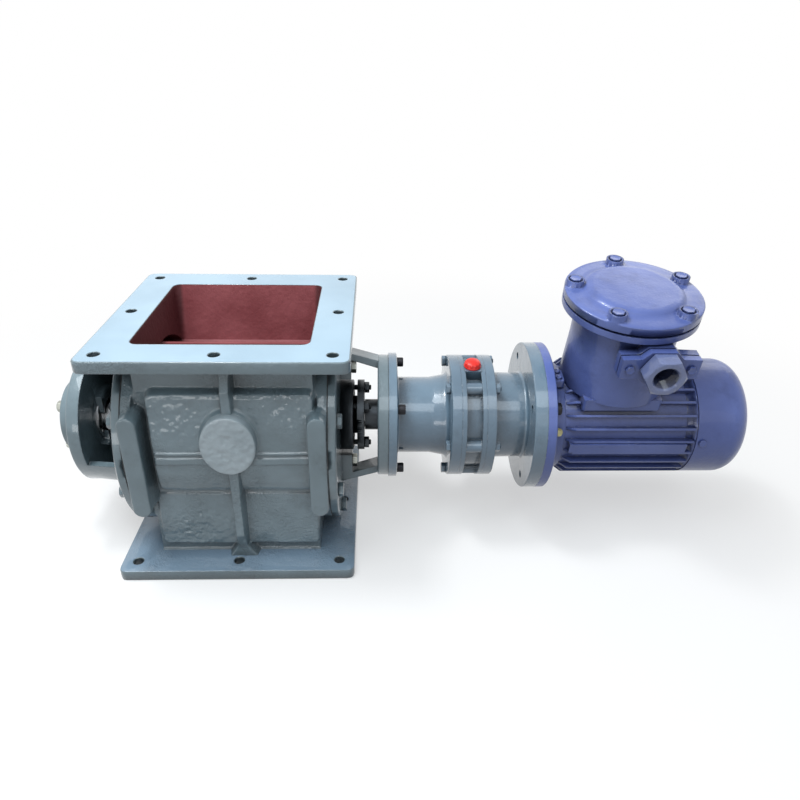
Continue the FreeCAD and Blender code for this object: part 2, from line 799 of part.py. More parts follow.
# the ring that holds the fixed pins, with a waist between two rims and a boss at each tie bolt
waist_left = D.ring_left + D.ring_rim_thick
waist_right = D.ring_right - D.ring_rim_thick
pin_ring = turned([
    (D.ring_left, D.pin_circle), (D.ring_left, rim), (waist_left, rim), (waist_left, D.ring_waist),
    (waist_right, D.ring_waist), (waist_right, rim), (D.ring_right, rim), (D.ring_right, D.pin_circle),
])
bosses = []
holes = []
for y, z in tie_holes:
    bosses.append(rod((D.ring_left + 1, y, z), X_UP, 8.2, D.ring_right - D.ring_left - 2))
    holes.append(rod((D.ring_left - 1, y, z), X_UP, 4.3, 40))
bosses.append(block((waist_left - 1, -12, D.pin_circle + 2), (waist_right - waist_left + 2, 24, 19)))
pins = []
pin_total = int(D.pin_count.number)
for k in range(pin_total):
    angle = 360.0 * k / pin_total
    y, z = round_at(D.pin_circle, angle)
    holes.append(rod((D.ring_left - 1, y, z), X_UP, D.pin_radius + D.slip, 40))
    pins.append(rod((D.ring_left + 0.3, y, z), X_UP, D.pin_radius, D.ring_right - D.ring_left - 0.6))
plug_at = (D.ring_left + 16, 0, D.pin_circle + 8)
holes.append(rod(plug_at, Z_UP, D.thread_gap + 7, 30))
keep("pin_ring", cut(fuse(pin_ring, *bosses), *holes), True)
keep("ring_pins", group(*pins), True)
plug_top = D.pin_circle + 21
keep("oil_plug", fuse(
    rod((D.ring_left + 16, 0, D.pin_circle + 8.5), Z_UP, 7, 13),
    rod((D.ring_left + 16, 0, plug_top), Z_UP, 11.5, 3),
    hexagon((D.ring_left + 16, 0, plug_top + 3), Z_UP, 10.5, 6),
), True)

# the two cycloid discs, half a turn apart on the eccentrics


def cycloid_outline(clearance):
    """Curve of a disc that rolls inside the fixed pins.

    With R the pin circle, r the pin radius, e the throw and n the pins:
    a = R cos t - r cos(t + w) - e cos(n t), b = -R sin t + r sin(t + w) + e sin(n t),
    where tan w = sin((1 - n) t) / (R / (e n) - cos((1 - n) t)).
    """
    big = D.pin_circle.number
    small = D.pin_radius.number + clearance
    e = D.throw.number
    n = int(D.pin_count.number)
    steps = (n - 1) * 12
    curve = []
    for k in range(steps):
        t = 2 * math.pi * k / steps
        w = math.atan2(math.sin((1 - n) * t), big / (e * n) - math.cos((1 - n) * t))
        a = big * math.cos(t) - small * math.cos(t + w) - e * math.cos(n * t)
        b = -big * math.sin(t) + small * math.sin(t + w) + e * math.sin(n * t)
        curve.append(V(0, a, b))
    spline = Part.BSplineCurve()
    spline.interpolate(Points=curve, PeriodicFlag=True)
    return Part.Wire(spline.toShape())


def cycloid_disc(left, sign):
    thick = D.disc_thick.number
    e = D.throw.number
    solid = Part.Face(cycloid_outline(0.15)).extrude(V(thick, 0, 0))
    lobe = D.lobe_radius.number + 2 * D.roller_radius.number + 0.25
    cuts = [Part.makeCylinder(lobe, thick + 2, V(-1, 0, 0), V(1, 0, 0))]
    wide_hole = D.drive_pin_radius.number + e + 0.15
    circle = D.drive_pin_circle.number
    for angle in ring_of(8, 0):
        y = -circle * math.cos(math.radians(angle))
        z = circle * math.sin(math.radians(angle))
        cuts.append(Part.makeCylinder(wide_hole, thick + 2, V(-1, y, z), V(1, 0, 0)))
    solid = solid.cut(cuts)
    if sign < 0:
        solid.rotate(V(0, 0, 0), V(1, 0, 0), 180)
    solid.translate(V(left.number, sign * e, 0))
    thing = doc.addObject("Part::Feature", fresh("cycloid"))
    thing.Shape = solid
    return group(thing)


disc_a = D.ring_left + 3
disc_b = D.ring_left + 18
keep("cycloid_disc_a", cycloid_disc(disc_a, 1), True)
keep("cycloid_disc_b", cycloid_disc(disc_b, -1), True)

# hollow output shaft with its carrier disc and drive pins, and its two bearings
carrier = turned([
    (163, D.journal_radius + 0.03), (163, D.hub_radius), (197, D.hub_radius), (197, 20), (251, 20),
    (251, 24),
    (252.5, 24), (252.5, 46), (262, 46), (262, 0), (244, 0), (244, D.journal_radius + 0.03),
])
pins = []
for angle in ring_of(8, 0):
    y, z = round_at(D.drive_pin_circle, angle)
    pins.append(rod((256, y, z), X_UP, D.drive_pin_radius, D.ring_right - 258))
slot = moved(group(block((184, -4.02, 0), (47, 8.04, 18))), -D.drive_roll)
keep("output_shaft", cut(fuse(carrier, *pins), slot), True)
keep("output_bearing_outers", group(
    ring(198.2, 17.8, 35.95, 40), *balls(207.1, 30.0, 5.8, 9),
    ring(232, 18, 35.95, 40), *balls(241.0, 30.0, 5.8, 9)), True)
keep("output_bearing_inners", group(ring(198.2, 17.8, 20.01, 24.05), ring(232, 18, 20.01, 24.05)))

# input shaft with two eccentrics, their rollers and its bearing
core = turned([
    (284, 0), (284, 10), (285, 11), (322, 11), (322, 12.5), (344, 12.5), (344, 16), (386, 16),
    (386, 9.53), (350, 9.53), (350, 0),
])
lobes = []
rollers = []
for left, sign in ((disc_a, 1), (disc_b, -1)):
    lobes.append(rod((left - 0.5, sign * D.throw, 0), X_UP, D.lobe_radius, D.disc_thick + 1))
    for angle in ring_of(12, 0):
        y, z = round_at(D.lobe_radius + D.roller_radius + 0.1, angle)
        rollers.append(rod((left + 0.5, y + sign * D.throw, z), X_UP, D.roller_radius, D.disc_thick - 1))
keep("input_shaft", fuse(core, *lobes), True)
keep("eccentric_rollers", group(*rollers), True)
keep("input_bearing_outer", group(ring(326, 15, 22.45, 26), *balls(333.5, 19.25, 3.1, 9)), True)
keep("input_bearing_inner", ring(326, 15, 12.51, 16.05), True)

# adapter between reducer and motor
adapter = turned([
    (D.ring_right, 20), (D.ring_right, rim), (D.adapter_rim_right, rim),
    (D.adapter_rim_right, D.adapter_neck + 1),
    (D.adapter_disc_left - 4, D.adapter_neck, 4), (D.adapter_disc_left, D.adapter_neck + 4),
    (D.adapter_disc_left, D.motor_flange_radius - 1), (D.adapter_disc_left + 1, D.motor_flange_radius),
    (D.adapter_disc_right, D.motor_flange_radius), (D.adapter_disc_right, D.spigot_radius + D.slip),
    (D.adapter_disc_right - 3.6, D.spigot_radius + D.slip), (D.adapter_disc_right - 3.6, 45), (341, 45),
    (341, 26.02), (325.8, 26.02), (325.8, 20),
])
holes = []
adapter_bolts = []
for y, z in tie_holes:
    holes.append(rod((D.ring_right - 1, y, z), X_UP, 4.3, 14))
shield_holes = []
for angle in ring_of(4, 45):
    y, z = round_at(D.motor_bolt_circle, angle)
    through = D.adapter_disc_right - D.adapter_disc_left + 2
    holes.append(rod((D.adapter_disc_left - 1, y, z), X_UP, D.thread_gap + 5, through))
    shield_holes.append(rod((D.adapter_disc_right - 1, y, z), X_UP, 5.5, 14))
    adapter_bolts.append(bolt((D.motor_flange_right, y, z), X_DOWN, 5.0, 22, 8, 8, "socket"))
keep("input_adapter", cut(adapter, *holes), True)
keep("adapter_bolts", group(*adapter_bolts), True)

# motor: flange shield, finned frame, rear shield
spigot = D.spigot_radius
shield = turned([
    (D.adapter_disc_right - 3.4, 11), (D.adapter_disc_right - 3.4, spigot), (D.adapter_disc_right, spigot),
    (D.adapter_disc_right, D.motor_flange_radius), (D.motor_flange_right - 1, D.motor_flange_radius),
    (D.motor_flange_right, D.motor_flange_radius - 1), (D.motor_flange_right, 73), (D.frame_left, 72),
    (D.frame_left, D.frame_inner - 0.02), (D.frame_left + 8, D.frame_inner - 0.02), (D.frame_left + 8, 56),
    (414, 54), (414, 23.52), (398, 23.52), (398, 11),
])
earth_angle = 22.0
earth_way = (0, -math.cos(math.radians(earth_angle)), math.sin(math.radians(earth_angle)))
earth_y, earth_z = round_at(66, earth_angle)
shield_holes.append(rod((413, earth_y, earth_z), earth_way, D.thread_gap + 2.5, 20))
keep("flange_shield", cut(shield, *shield_holes), True)
seat_y, seat_z = round_at(73.2, earth_angle)
tip_y, tip_z = round_at(67, earth_angle)
keep("earth_screw", fuse(
    rod((413, tip_y, tip_z), earth_way, 2.5, 6.5), rod((413, seat_y, seat_z), earth_way, 5.5, 1.4),
    hexagon((413, seat_y * 1.018, seat_z * 1.018), earth_way, 4.6, 3.4)), True)
frame = finned(
    [(D.frame_left, D.frame_inner), (D.frame_left, D.frame_outer),
     (D.frame_right, D.frame_outer), (D.frame_right, D.frame_inner)],
    "XZ_Plane",
    [(D.frame_left + 2, D.frame_outer - 3), (D.frame_left + 2, D.frame_outer + 1),
     (D.frame_left + 12, D.fin_radius), (D.fan_cover_left - 3, D.fin_radius),
     (D.fan_cover_left - 3, D.fin_radius - 3), (D.frame_right, D.frame_outer - 2)],
    D.fin_thick, 28)
pads = []
pad_long = D.frame_right - D.frame_left - 6
for low, foot_level in ((-D.fin_radius, 1), (D.frame_outer - 3, -15)):
    sides = (pad_long, D.fin_radius - D.frame_outer + 3, 14)
    pads.append(block((D.frame_left + 6, low, foot_level), sides))
box_room = [
    rod((D.box_along, 0, D.box_seat), Z_UP, D.box_radius + 3.5, 40),
    block((D.box_along - 50.5, -70, D.box_seat), (101, 140, 40)),
    cut(
        block((D.box_along - 50.5, -70, D.skirt_low - 0.5), (101, 140, 60)),
        rod((D.box_along - 60, 0, 0), X_UP, D.frame_outer, 120)),
    rod((D.box_along, 0, 50), Z_UP, 12, 30),
]
keep("motor_frame", cut(fuse(frame, *pads), *box_room), True)
hood_room = D.fan_cover_radius - D.sheet_thick - 0.02
tail = D.frame_right
rear = turned([
    (tail - 10, 23.52), (tail - 10, 30), (tail - 1, 30), (tail - 1, 56), (tail - 6, 56),
    (tail - 6, D.frame_inner - 0.02), (tail, D.frame_inner - 0.02), (tail, 68), (tail + 10, 68),
    (tail + 10, hood_room), (tail + 26, hood_room),
    (tail + 26, 70), (tail + 8, 66), (tail + 8, 11), (tail + 5, 11), (tail + 5, 23.52),
])
screw_angles = ring_of(4, 12)
holes = []
cover_screws = []
cover_holes = []
for angle in screw_angles:
    way = (0, -math.cos(math.radians(angle)), math.sin(math.radians(angle)))
    deep = round_at(70.6, angle)
    inner_y, inner_z = round_at(66, angle)
    holes.append(rod((tail + 20, inner_y, inner_z), way, D.thread_gap + 2.5, 14))
    cover_holes.append(rod((tail + 20, deep[0], deep[1]), way, 2.8, 12))
    seat = round_at(D.fan_cover_radius, angle)
    cover_screws.append(fuse(
        rod((tail + 20, deep[0], deep[1]), way, 2.5, 9.5),
        rod((tail + 20, seat[0], seat[1]), way, 5.0, 2.6)))
keep("rear_shield", cut(rear, *holes), True)
keep("fan_cover_screws", group(*cover_screws), True)

# motor inside: stator, winding ends, rotor core, shaft, bearings, fan
core_right = D.core_left + D.core_long
keep("stator_core", ring(D.core_left, D.core_long, D.core_radius + 0.5, D.frame_inner), True)
keep("stator_winding", group(
    turned([(D.core_left - 9.5, 46), (D.core_left - 9.5, 50), (D.core_left - 6, 52), (D.core_left, 52),
            (D.core_left, 43), (D.core_left - 6, 43)]),
    turned([(core_right, 43), (core_right, 60), (core_right + 12, 60), (core_right + 16, 56),
            (core_right + 16, 47), (core_right + 12, 43)])), True)
keep("motor_core", ring(D.core_left, D.core_long, 12.02, D.core_radius), True)
keep("motor_shaft", turned([
    (352, 0), (352, 8.5), (353, 9.5), (392, 9.5), (392, 10), (413, 10), (413, 12), (tail - 10, 12),
    (tail - 10, 10),
    (tail + 20, 10), (tail + 20, 8), (tail + 50, 8), (tail + 50, 0),
]), True)
keep("motor_bearing_outers", group(
    ring(399, 14, 20.5, 23.5), *balls(406, 17.0, 3.4, 8),
    ring(tail - 9, 14, 20.5, 23.5), *balls(tail - 2, 17.0, 3.4, 8)), True)
keep("motor_bearing_inners", group(ring(399, 14, 10.01, 13.45), ring(tail - 9, 14, 10.01, 13.45)), True)
fan = finned(
    [
        (tail + 22, 8.02), (tail + 22, 62), (tail + 25, 62), (tail + 25, 17), (tail + 46, 15),
        (tail + 46, 8.02),
    ],
    "XZ_Plane",
    [(tail + 24, 14), (tail + 24, 62), (tail + 42, 58), (tail + 42, 14)],
    D.sheet_thick * 1.25, 8)
keep("fan", fan, True)
outer = D.fan_cover_radius
thick = D.sheet_thick
bend = 27.0
hood = turned([
    (D.fan_cover_left, outer - thick), (D.fan_cover_left, outer), (D.fan_cover_right - bend, outer, -bend),
    (D.fan_cover_right, outer - bend), (D.fan_cover_right, 0), (D.fan_cover_right - thick, 0),
    (D.fan_cover_right - thick, outer - bend, bend - 2.0), (D.fan_cover_right - bend, outer - thick),
])
vents = []
for circle, count in ((12, 6), (24, 12), (36, 18)):
    for angle in ring_of(count, 0):
        y, z = round_at(circle, angle)
        vents.append(rod((D.fan_cover_right - 4, y, z), X_UP, 4.2, 8))
keep("fan_cover", cut(hood, *vents, *cover_holes), True)

# terminal box on the motor
along = D.box_along
wall_radius = D.box_radius
flange_top = D.box_flange_top
riser = turned([
    (12, D.box_seat), (wall_radius + 3, D.box_seat), (wall_radius, 130), (wall_radius, flange_top - 15),
    (wall_radius + 8, flange_top - 9), (D.lid_radius - 1, flange_top - 9), (D.lid_radius, flange_top - 8),
    (D.lid_radius, flange_top), (56, flange_top), (56, D.box_seat + 9), (12, D.box_seat + 9),
], "V_Axis")
riser.Placement = FreeCAD.Placement(V(along.number, 0, 0), FreeCAD.Rotation())
riser.setExpression(".Placement.Base.x", "dims.box_along")
saddle_sides = (100, 116, D.box_seat - D.skirt_low + 4)
corners = cut(
    rod((along, 0, D.skirt_low - 1), Z_UP, wall_radius + 25, 40),
    rod((along, 0, D.skirt_low - 2), Z_UP, wall_radius + 10, 42))
saddle = cut(
    block((along - 50, -58, D.skirt_low), saddle_sides),
    rod((along - 60, 0, 0), X_UP, D.frame_outer + D.slip, 120),
    corners)
centre = D.entry_along
level = D.entry_up
ear = 46.0
ear_points = [
    (centre - ear, level - 14), (centre - 22, level - 15), (centre - 14, level - 22),
    (centre + 14, level - 22), (centre + 22, level - 15), (centre + ear, level - 14),
    (centre + ear, level + 12), (centre + 24, level + 13), (centre + 15, level + 22),
    (centre - 15, level + 22), (centre - 24, level + 13), (centre - ear, level + 12),
]
lug = padded("XZ_Plane", ear_points, 74, 10)
stub = rod((centre, -50, level), FRONT, 22, 30)
lead_hole = rod((along, 0, D.box_seat - 1), Z_UP, 12, 20)
lid_bolts = []
lid_collars = []
lid_holes = []
box_holes = []
for angle in (22, 94, 166, 238, 310):
    x = along + D.lid_bolt_circle * cosine(angle)
    y = D.lid_bolt_circle * sine(angle)
    box_holes.append(rod((x, y, flange_top + 1), Z_DOWN, D.thread_gap + 4, 20))
    lid_holes.append(rod((x, y, flange_top - 2), Z_UP, 4.3, 40))
    collar = rod((x, y, flange_top + 12), Z_UP, 11, 9)
    lid_holes.append(rod((x, y, flange_top + 17), Z_UP, 8.6, 20))
    lid_collars.append(collar)
    lid_bolts.append(bolt((x, y, flange_top + 17), Z_DOWN, 4.0, 29, 7.4, 5.4))
screw_holes = [rod((centre + a * 36, -88, level - 1), BACK, D.thread_gap + 3, 12) for a in (-1, 1)]
bare = fuse(riser, saddle, lug, stub)
room = rod((along, 0, D.box_seat + 9), Z_UP, 56, 90)
mouth = rod((centre, -90, level), BACK, 16.1, 60)
keep("terminal_box", cut(bare, lead_hole, mouth, room, *box_holes, *screw_holes), True)
lid = turned([
    (0, flange_top - 6), (55.9, flange_top - 6), (55.9, flange_top + 3), (D.lid_radius, flange_top + 3),
    (D.lid_radius, flange_top + 12), (D.lid_radius - 1.5, flange_top + 13.5), (62, flange_top + 14.5),
    (56, flange_top + 19), (50, flange_top + 20), (0, flange_top + 20),
], "V_Axis")
lid.Placement = FreeCAD.Placement(V(along.number, 0, 0), FreeCAD.Rotation())
lid.setExpression(".Placement.Base.x", "dims.box_along")
keep("terminal_lid", cut(fuse(lid, *lid_collars), *lid_holes), True)
keep("lid_bolts", group(*lid_bolts), True)
studs = []
for a in (-20, 0, 20):
    for b in (-12, 12):
        studs.append(rod((along + a, b, D.box_seat + 30), Z_UP, 2.5, 16))
base_block = block((along - 30, -22, D.box_seat + 9), (60, 44, 21.5))
keep("terminal_block", fuse(base_block, *studs), True)
plate = padded("XZ_Plane", ear_points, 86, 9)
entry_holes = [rod((centre, -100, level), BACK, 16.1, 20)]
entry_screws = []
for a in (-1, 1):
    entry_holes.append(rod((centre + a * 36, -100, level - 1), BACK, 3.3, 20))
    entry_screws.append(bolt((centre + a * 36, -95, level - 1), BACK, 3.0, 18, 5.6, 3.6))
keep("entry_plate", cut(plate, *entry_holes), True)
keep("entry_screws", group(*entry_screws), True)
nut = fuse(hexagon((centre, -95, level), FRONT, 25, 21), rod((centre, -95, level), BACK, 16.0, 13))
keep("gland_nut", cut(nut, rod((centre, -120, level), BACK, D.entry_bore, 50)), True)

doc.recompute()
troubles = []
for thing in doc.Objects:
    if "Invalid" in thing.State or "Error" in thing.State:
        troubles.append("%s %s" % (thing.Name, thing.State))
for label, thing in NODES.items():
    shape = thing.Shape
    if shape.isNull() or not shape.isValid() or not shape.Solids:
        troubles.append("bad shape: " + label)
if troubles:
    raise RuntimeError("; ".join(troubles))
os.makedirs("parts", exist_ok=True)
for label, thing in NODES.items():
    thing.Shape.exportStep("parts/%s.step" % label)
    shape = thing.Shape
    box = shape.BoundBox
    print("%-24s solids %2d volume %10.0f  X %7.1f %7.1f Y %7.1f %7.1f Z %7.1f %7.1f" % (
        label, len(shape.Solids), shape.Volume,
        box.XMin, box.XMax, box.YMin, box.YMax, box.ZMin, box.ZMax))
print(len(NODES), "nodes")
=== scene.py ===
import json
import math

import bmesh
import bpy
import numpy as np
from mathutils import Matrix, Vector


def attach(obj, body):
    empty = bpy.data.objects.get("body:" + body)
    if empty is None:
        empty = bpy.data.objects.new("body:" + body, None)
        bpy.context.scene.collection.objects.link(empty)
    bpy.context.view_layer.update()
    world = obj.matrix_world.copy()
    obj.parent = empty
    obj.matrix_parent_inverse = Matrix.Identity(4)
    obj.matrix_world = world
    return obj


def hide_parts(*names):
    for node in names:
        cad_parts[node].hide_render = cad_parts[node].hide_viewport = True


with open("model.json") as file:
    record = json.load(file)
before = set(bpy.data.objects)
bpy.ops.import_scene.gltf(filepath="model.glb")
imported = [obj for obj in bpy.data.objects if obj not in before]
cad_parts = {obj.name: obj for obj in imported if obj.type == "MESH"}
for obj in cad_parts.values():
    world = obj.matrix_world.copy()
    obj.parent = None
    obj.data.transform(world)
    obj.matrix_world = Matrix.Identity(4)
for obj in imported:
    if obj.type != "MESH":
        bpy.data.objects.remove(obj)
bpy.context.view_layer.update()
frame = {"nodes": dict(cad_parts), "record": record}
nodes = frame["nodes"]
bodies = frame["record"]["behaviour"]["bodies"]
subparts = {part["node"]: part for part in frame["record"]["subparts"]}

# Pieces are drawn in millimetres about the shaft's axis, X along the shaft and Z up. seat() puts
# them into the frame. Finishes, floor, lamps and camera are in the frame's metres.

MM_IN_METRE = 1000.0
SHAFT_UP = 160.0
DRIVE_ROLL = 10.5  # degrees
FULL_TURN = 2 * math.pi
HEX_TURN = math.pi / 3
POLE = 0.001  # radius at which a lathe line ends on its axis, small enough to merge into one point
X_UP, X_DOWN, Z_UP, FRONT = (1, 0, 0), (-1, 0, 0), (0, 0, 1), (0, -1, 0)

BORE_RADIUS = 108.0
CAST_END = 120.0
RING_RADIUS = 137.6
NECK_TOP, NECK_LOW = 135.0, -145.0
HIGH_PANEL = (7.5, 25.5, 97.5, 69.5, 9.0)  # middle x and z, half width and height, corner
LOW_PANEL = (2.5, -91.5, 101.5, 39.5, 7.0)
BANDS = ((16.3, 1.8, 2.0), (5.8, 4.6, 2.2))  # height, half width, width of its edges
RIB_X, RIB_HALF = 5.0, 6.5
BOSS_X, BOSS_Z, BOSS_FACE, BOSS_OVAL = 4.0, 34.0, 138.4, 1.19
BOSS_COVE, BOSS_COVE_REACH = (35.0, 41.0), 126.5
BAR_X, BAR_Z, BAR_STRAIGHT, BAR_HALF = 108.5, 3.0, 59.0, 11.0
BAR_COVE, BAR_COVE_REACH = 12.2, 125.0
FLANGE_HALF = 150.0
FLANGE_HOLE_AT, FLANGE_HOLE_RADIUS = 130.0, 6.5
INLET_FACE, OUTLET_FACE = 150.0, -160.0
COVER_SEAT, COVER_CIRCLE = 131.0, 125.0
CAP_SEAT, CAP_CIRCLE = 230.0, 39.0
BRACKET_SEAT, BRACKET_CIRCLE = 145.0, 70.0
STUD_START, NUT_SEAT, GLAND_CIRCLE = 136.2, 162.0, 39.0
REDUCER_SEAT, REDUCER_CIRCLE = 205.6, 73.0
MOTOR_SEAT, MOTOR_CIRCLE = 405.0, 82.5
TIE_HEAD, TIE_NUT, TIE_CIRCLE = 273.8, 331.6, 74.0
LID_X, LID_SEAT, LID_CIRCLE = 491.0, 199.0, 71.0
ENTRY_X, ENTRY_FACE = 505.0, -95.0
OIL_CAP_X = 304.0
PAD_X, EARTH_X, EARTH_RADIUS = 413.5, 413.0, 73.2

# Screws: the head's radius, to the corner of a hexagon, its height and the shank's radius.
COVER_SCREW = (9.2, 6.5, 5.0)
CAP_SCREW = (7.6, 5.5, 4.0)
TIE_SCREW = (7.4, 5.5, 4.0)
LID_SCREW = (7.4, 5.4, 4.0)
ENTRY_SCREW = (5.6, 3.6, 3.0)
EARTH_SCREW = (4.6, 4.8, 2.5)
REDUCER_SCREW = (6.5, 10.0, 4.0)
MOTOR_SCREW = (8.0, 8.0, 5.0)
GLAND_NUT = (7.6, 6.5)
END_NUT = (7.4, 6.3)
THREAD_RADIUS = 4.0


# shader terms


class Term:
    """One value in a node tree. Each operator adds one Math node."""

    def __init__(self, net, socket):
        self.net = net
        self.socket = socket

    def math(self, kind, first, second=0.0):
        node = self.net.add("ShaderNodeMath", {"operation": kind}, {0: first, 1: second})
        return Term(self.net, node.outputs[0])

    def __add__(self, other):
        return self.math("ADD", self, other)

    def __radd__(self, other):
        return self.math("ADD", other, self)

    def __sub__(self, other):
        return self.math("SUBTRACT", self, other)

    def __rsub__(self, other):
        return self.math("SUBTRACT", other, self)

    def __mul__(self, other):
        return self.math("MULTIPLY", self, other)

    def __rmul__(self, other):
        return self.math("MULTIPLY", other, self)

    def __pow__(self, other):
        return self.math("POWER", self, other)

    def __abs__(self):
        return self.math("ABSOLUTE", self)

    def least(self, other):
        return self.math("MINIMUM", self, other)

    def most(self, other):
        return self.math("MAXIMUM", self, other)

    def step(self, low, high):
        """0 below low, 1 above high, smooth between. High may be the lower number."""
        node = self.net.add(
            "ShaderNodeMapRange",
            {"interpolation_type": "SMOOTHSTEP"},
            {"Value": self, "From Min": low, "From Max": high},
        )
        return Term(self.net, node.outputs[0])


class Net:
    """A node tree, emptied, and the one way to add nodes to it."""

    def __init__(self, tree):
        self.tree = tree
        self.tree.nodes.clear()

    def add(self, kind, settings=None, sockets=None):
        node = self.tree.nodes.new(kind)
        for word, value in (settings or {}).items():
            setattr(node, word, value)
        for key, value in (sockets or {}).items():
            self.feed(node.inputs[key], value)
        return node

    def feed(self, socket, value):
        if isinstance(value, Term):
            value = value.socket
        if isinstance(value, bpy.types.NodeSocket):
            self.tree.links.new(value, socket)
        else:
            socket.default_value = value

    def seen_rays(self):
        """1 for what the camera, a reflection or glass sees, 0 for light that bounces."""
        rays = self.add("ShaderNodeLightPath")
        kinds = ("Camera", "Glossy", "Transmission")
        straight, glossy, glass = (Term(self, rays.outputs["Is %s Ray" % kind]) for kind in kinds)
        return straight.most(glossy).most(glass)


class Finish(Net):
    """A material: a Principled shader and the nodes that vary it."""

    def __init__(self, name):
        self.name = name
        self.material = bpy.data.materials.new(name)
        self.material.use_nodes = True
        super().__init__(self.material.node_tree)
        self.shader = self.add("ShaderNodeBsdfPrincipled")
        self.surface = self.add("ShaderNodeOutputMaterial", {}, {"Surface": self.shader.outputs[0]})
        self.coordinates = self.add("ShaderNodeTexCoord")

    def set(self, **values):
        for word, value in values.items():
            self.feed(self.shader.inputs[word.replace("_", " ")], value)

    def place(self):
        """X, Y and Z of the point, in metres."""
        node = self.add("ShaderNodeSeparateXYZ", {}, {0: self.coordinates.outputs["Object"]})
        return [Term(self, out) for out in node.outputs]

    def facing(self):
        """X, Y and Z of the surface's own direction."""
        node = self.add("ShaderNodeNewGeometry")
        apart = self.add("ShaderNodeSeparateXYZ", {}, {0: node.outputs["Normal"]})
        return [Term(self, out) for out in apart.outputs]

    def noise(self, scale, detail=2.0, rough=0.5, stretch=(1.0, 1.0, 1.0)):
        spread = self.add(
            "ShaderNodeMapping",
            {},
            {"Vector": self.coordinates.outputs["Object"], "Scale": stretch},
        )
        node = self.add(
            "ShaderNodeTexNoise",
            {},
            {"Vector": spread.outputs[0], "Scale": scale, "Detail": detail, "Roughness": rough},
        )
        return Term(self, node.outputs[0])

    def blend(self, amount, first, second):
        """Colour that goes from first to second as amount goes from 0 to 1."""
        node = self.add(
            "ShaderNodeMix", {"data_type": "RGBA"}, {"Factor": amount, 6: first, 7: second}
        )
        return node.outputs[2]

    def edge_wear_and_shade(self, radius):
        """About 1 on a sharp outer edge or inner corner, 0 on open faces."""
        round_way = self.add("ShaderNodeBevel", {"samples": 4}, {"Radius": radius})
        flat_way = self.add("ShaderNodeNewGeometry")
        dot = self.add(
            "ShaderNodeVectorMath",
            {"operation": "DOT_PRODUCT"},
            {0: round_way.outputs[0], 1: flat_way.outputs["Normal"]},
        )
        return 1.0 - Term(self, dot.outputs["Value"])

    def shade_in_gaps(self, reach):
        """0 on open faces, toward 1 deep in a gap: the share of the near space that is blocked."""
        node = self.add("ShaderNodeAmbientOcclusion", {"samples": 4}, {"Distance": reach})
        return 1.0 - Term(self, node.outputs["AO"])

    def relief(self, height, distance, strength, round_edge):
        """Bump from a height, over edges that are rounded by round_edge."""
        soft = self.add("ShaderNodeBevel", {"samples": 4}, {"Radius": round_edge})
        node = self.add(
            "ShaderNodeBump",
            {},
            {
                "Height": height,
                "Distance": distance,
                "Strength": strength,
                "Normal": soft.outputs[0],
            },
        )
        self.set(Normal=node.outputs[0])


def tone(red, green, blue):
    """A colour given as it looks on a screen, 0 to 255."""
    parts = []
    for part in (red, green, blue):
        part /= 255.0
        parts.append(part / 12.92 if part <= 0.04045 else ((part + 0.055) / 1.055) ** 2.4)
    return (*parts, 1.0)


def shade(colour, share, lift=0.0):
    """The colour times a share, lifted, at most 1."""
    return tuple(min(1.0, c * share + lift) for c in colour[:3]) + (1.0,)


# finishes

# Enamel colours: main tone, lighter tone, and a dark tone for stains and for painted shade.
GREY = (tone(104, 121, 128), tone(118, 136, 144), tone(44, 51, 55))
REDUCER_GREY = (tone(96, 117, 134), tone(110, 134, 152), tone(44, 55, 64))
VIOLET = (tone(82, 98, 158), tone(98, 115, 178), tone(30, 35, 66))
NUT_VIOLET = (tone(104, 116, 158), tone(122, 134, 176), tone(44, 50, 76))
# Paler grey of the boss: painted highlight.
BOSS_HIGHLIGHT_GREY = (tone(138, 153, 160), tone(164, 177, 183), tone(78, 88, 94))
PRIMER = (tone(122, 56, 60), tone(142, 74, 78))
# Painted shade on the throat's end walls.
END_WALL_SHADE = tone(48, 16, 20)
CHIPPED_METAL = tone(196, 200, 198)
# Pale milled flange faces; their bluish lift is painted sky reflection.
MILLED_FACE_AND_SKY_SHEEN = (tone(146, 174, 192), tone(166, 194, 212))
# Bluish tone of the painted sky reflection on the outlet flange's upper side.
OUTLET_SKY_SHEEN = tone(132, 156, 180)
WHITE = (1.0, 1.0, 1.0, 1.0)

# In the frame's metres: the reach of the painted shade in gaps, where painted shade on the
# throat's end walls starts, where the primer ends in x and y, the flange faces, and the outlet
# flange's upper side.
PAINTED_SHADE_REACH = 0.04
END_WALL = (0.090, 0.096)
THROAT_X, THROAT_Y = (0.1036, 0.1032), (0.1046, 0.1042)
FLANGES_MIDDLE, FLANGES_HALF_GAP = 0.155, 0.1546
OUTLET_TOP = 0.02


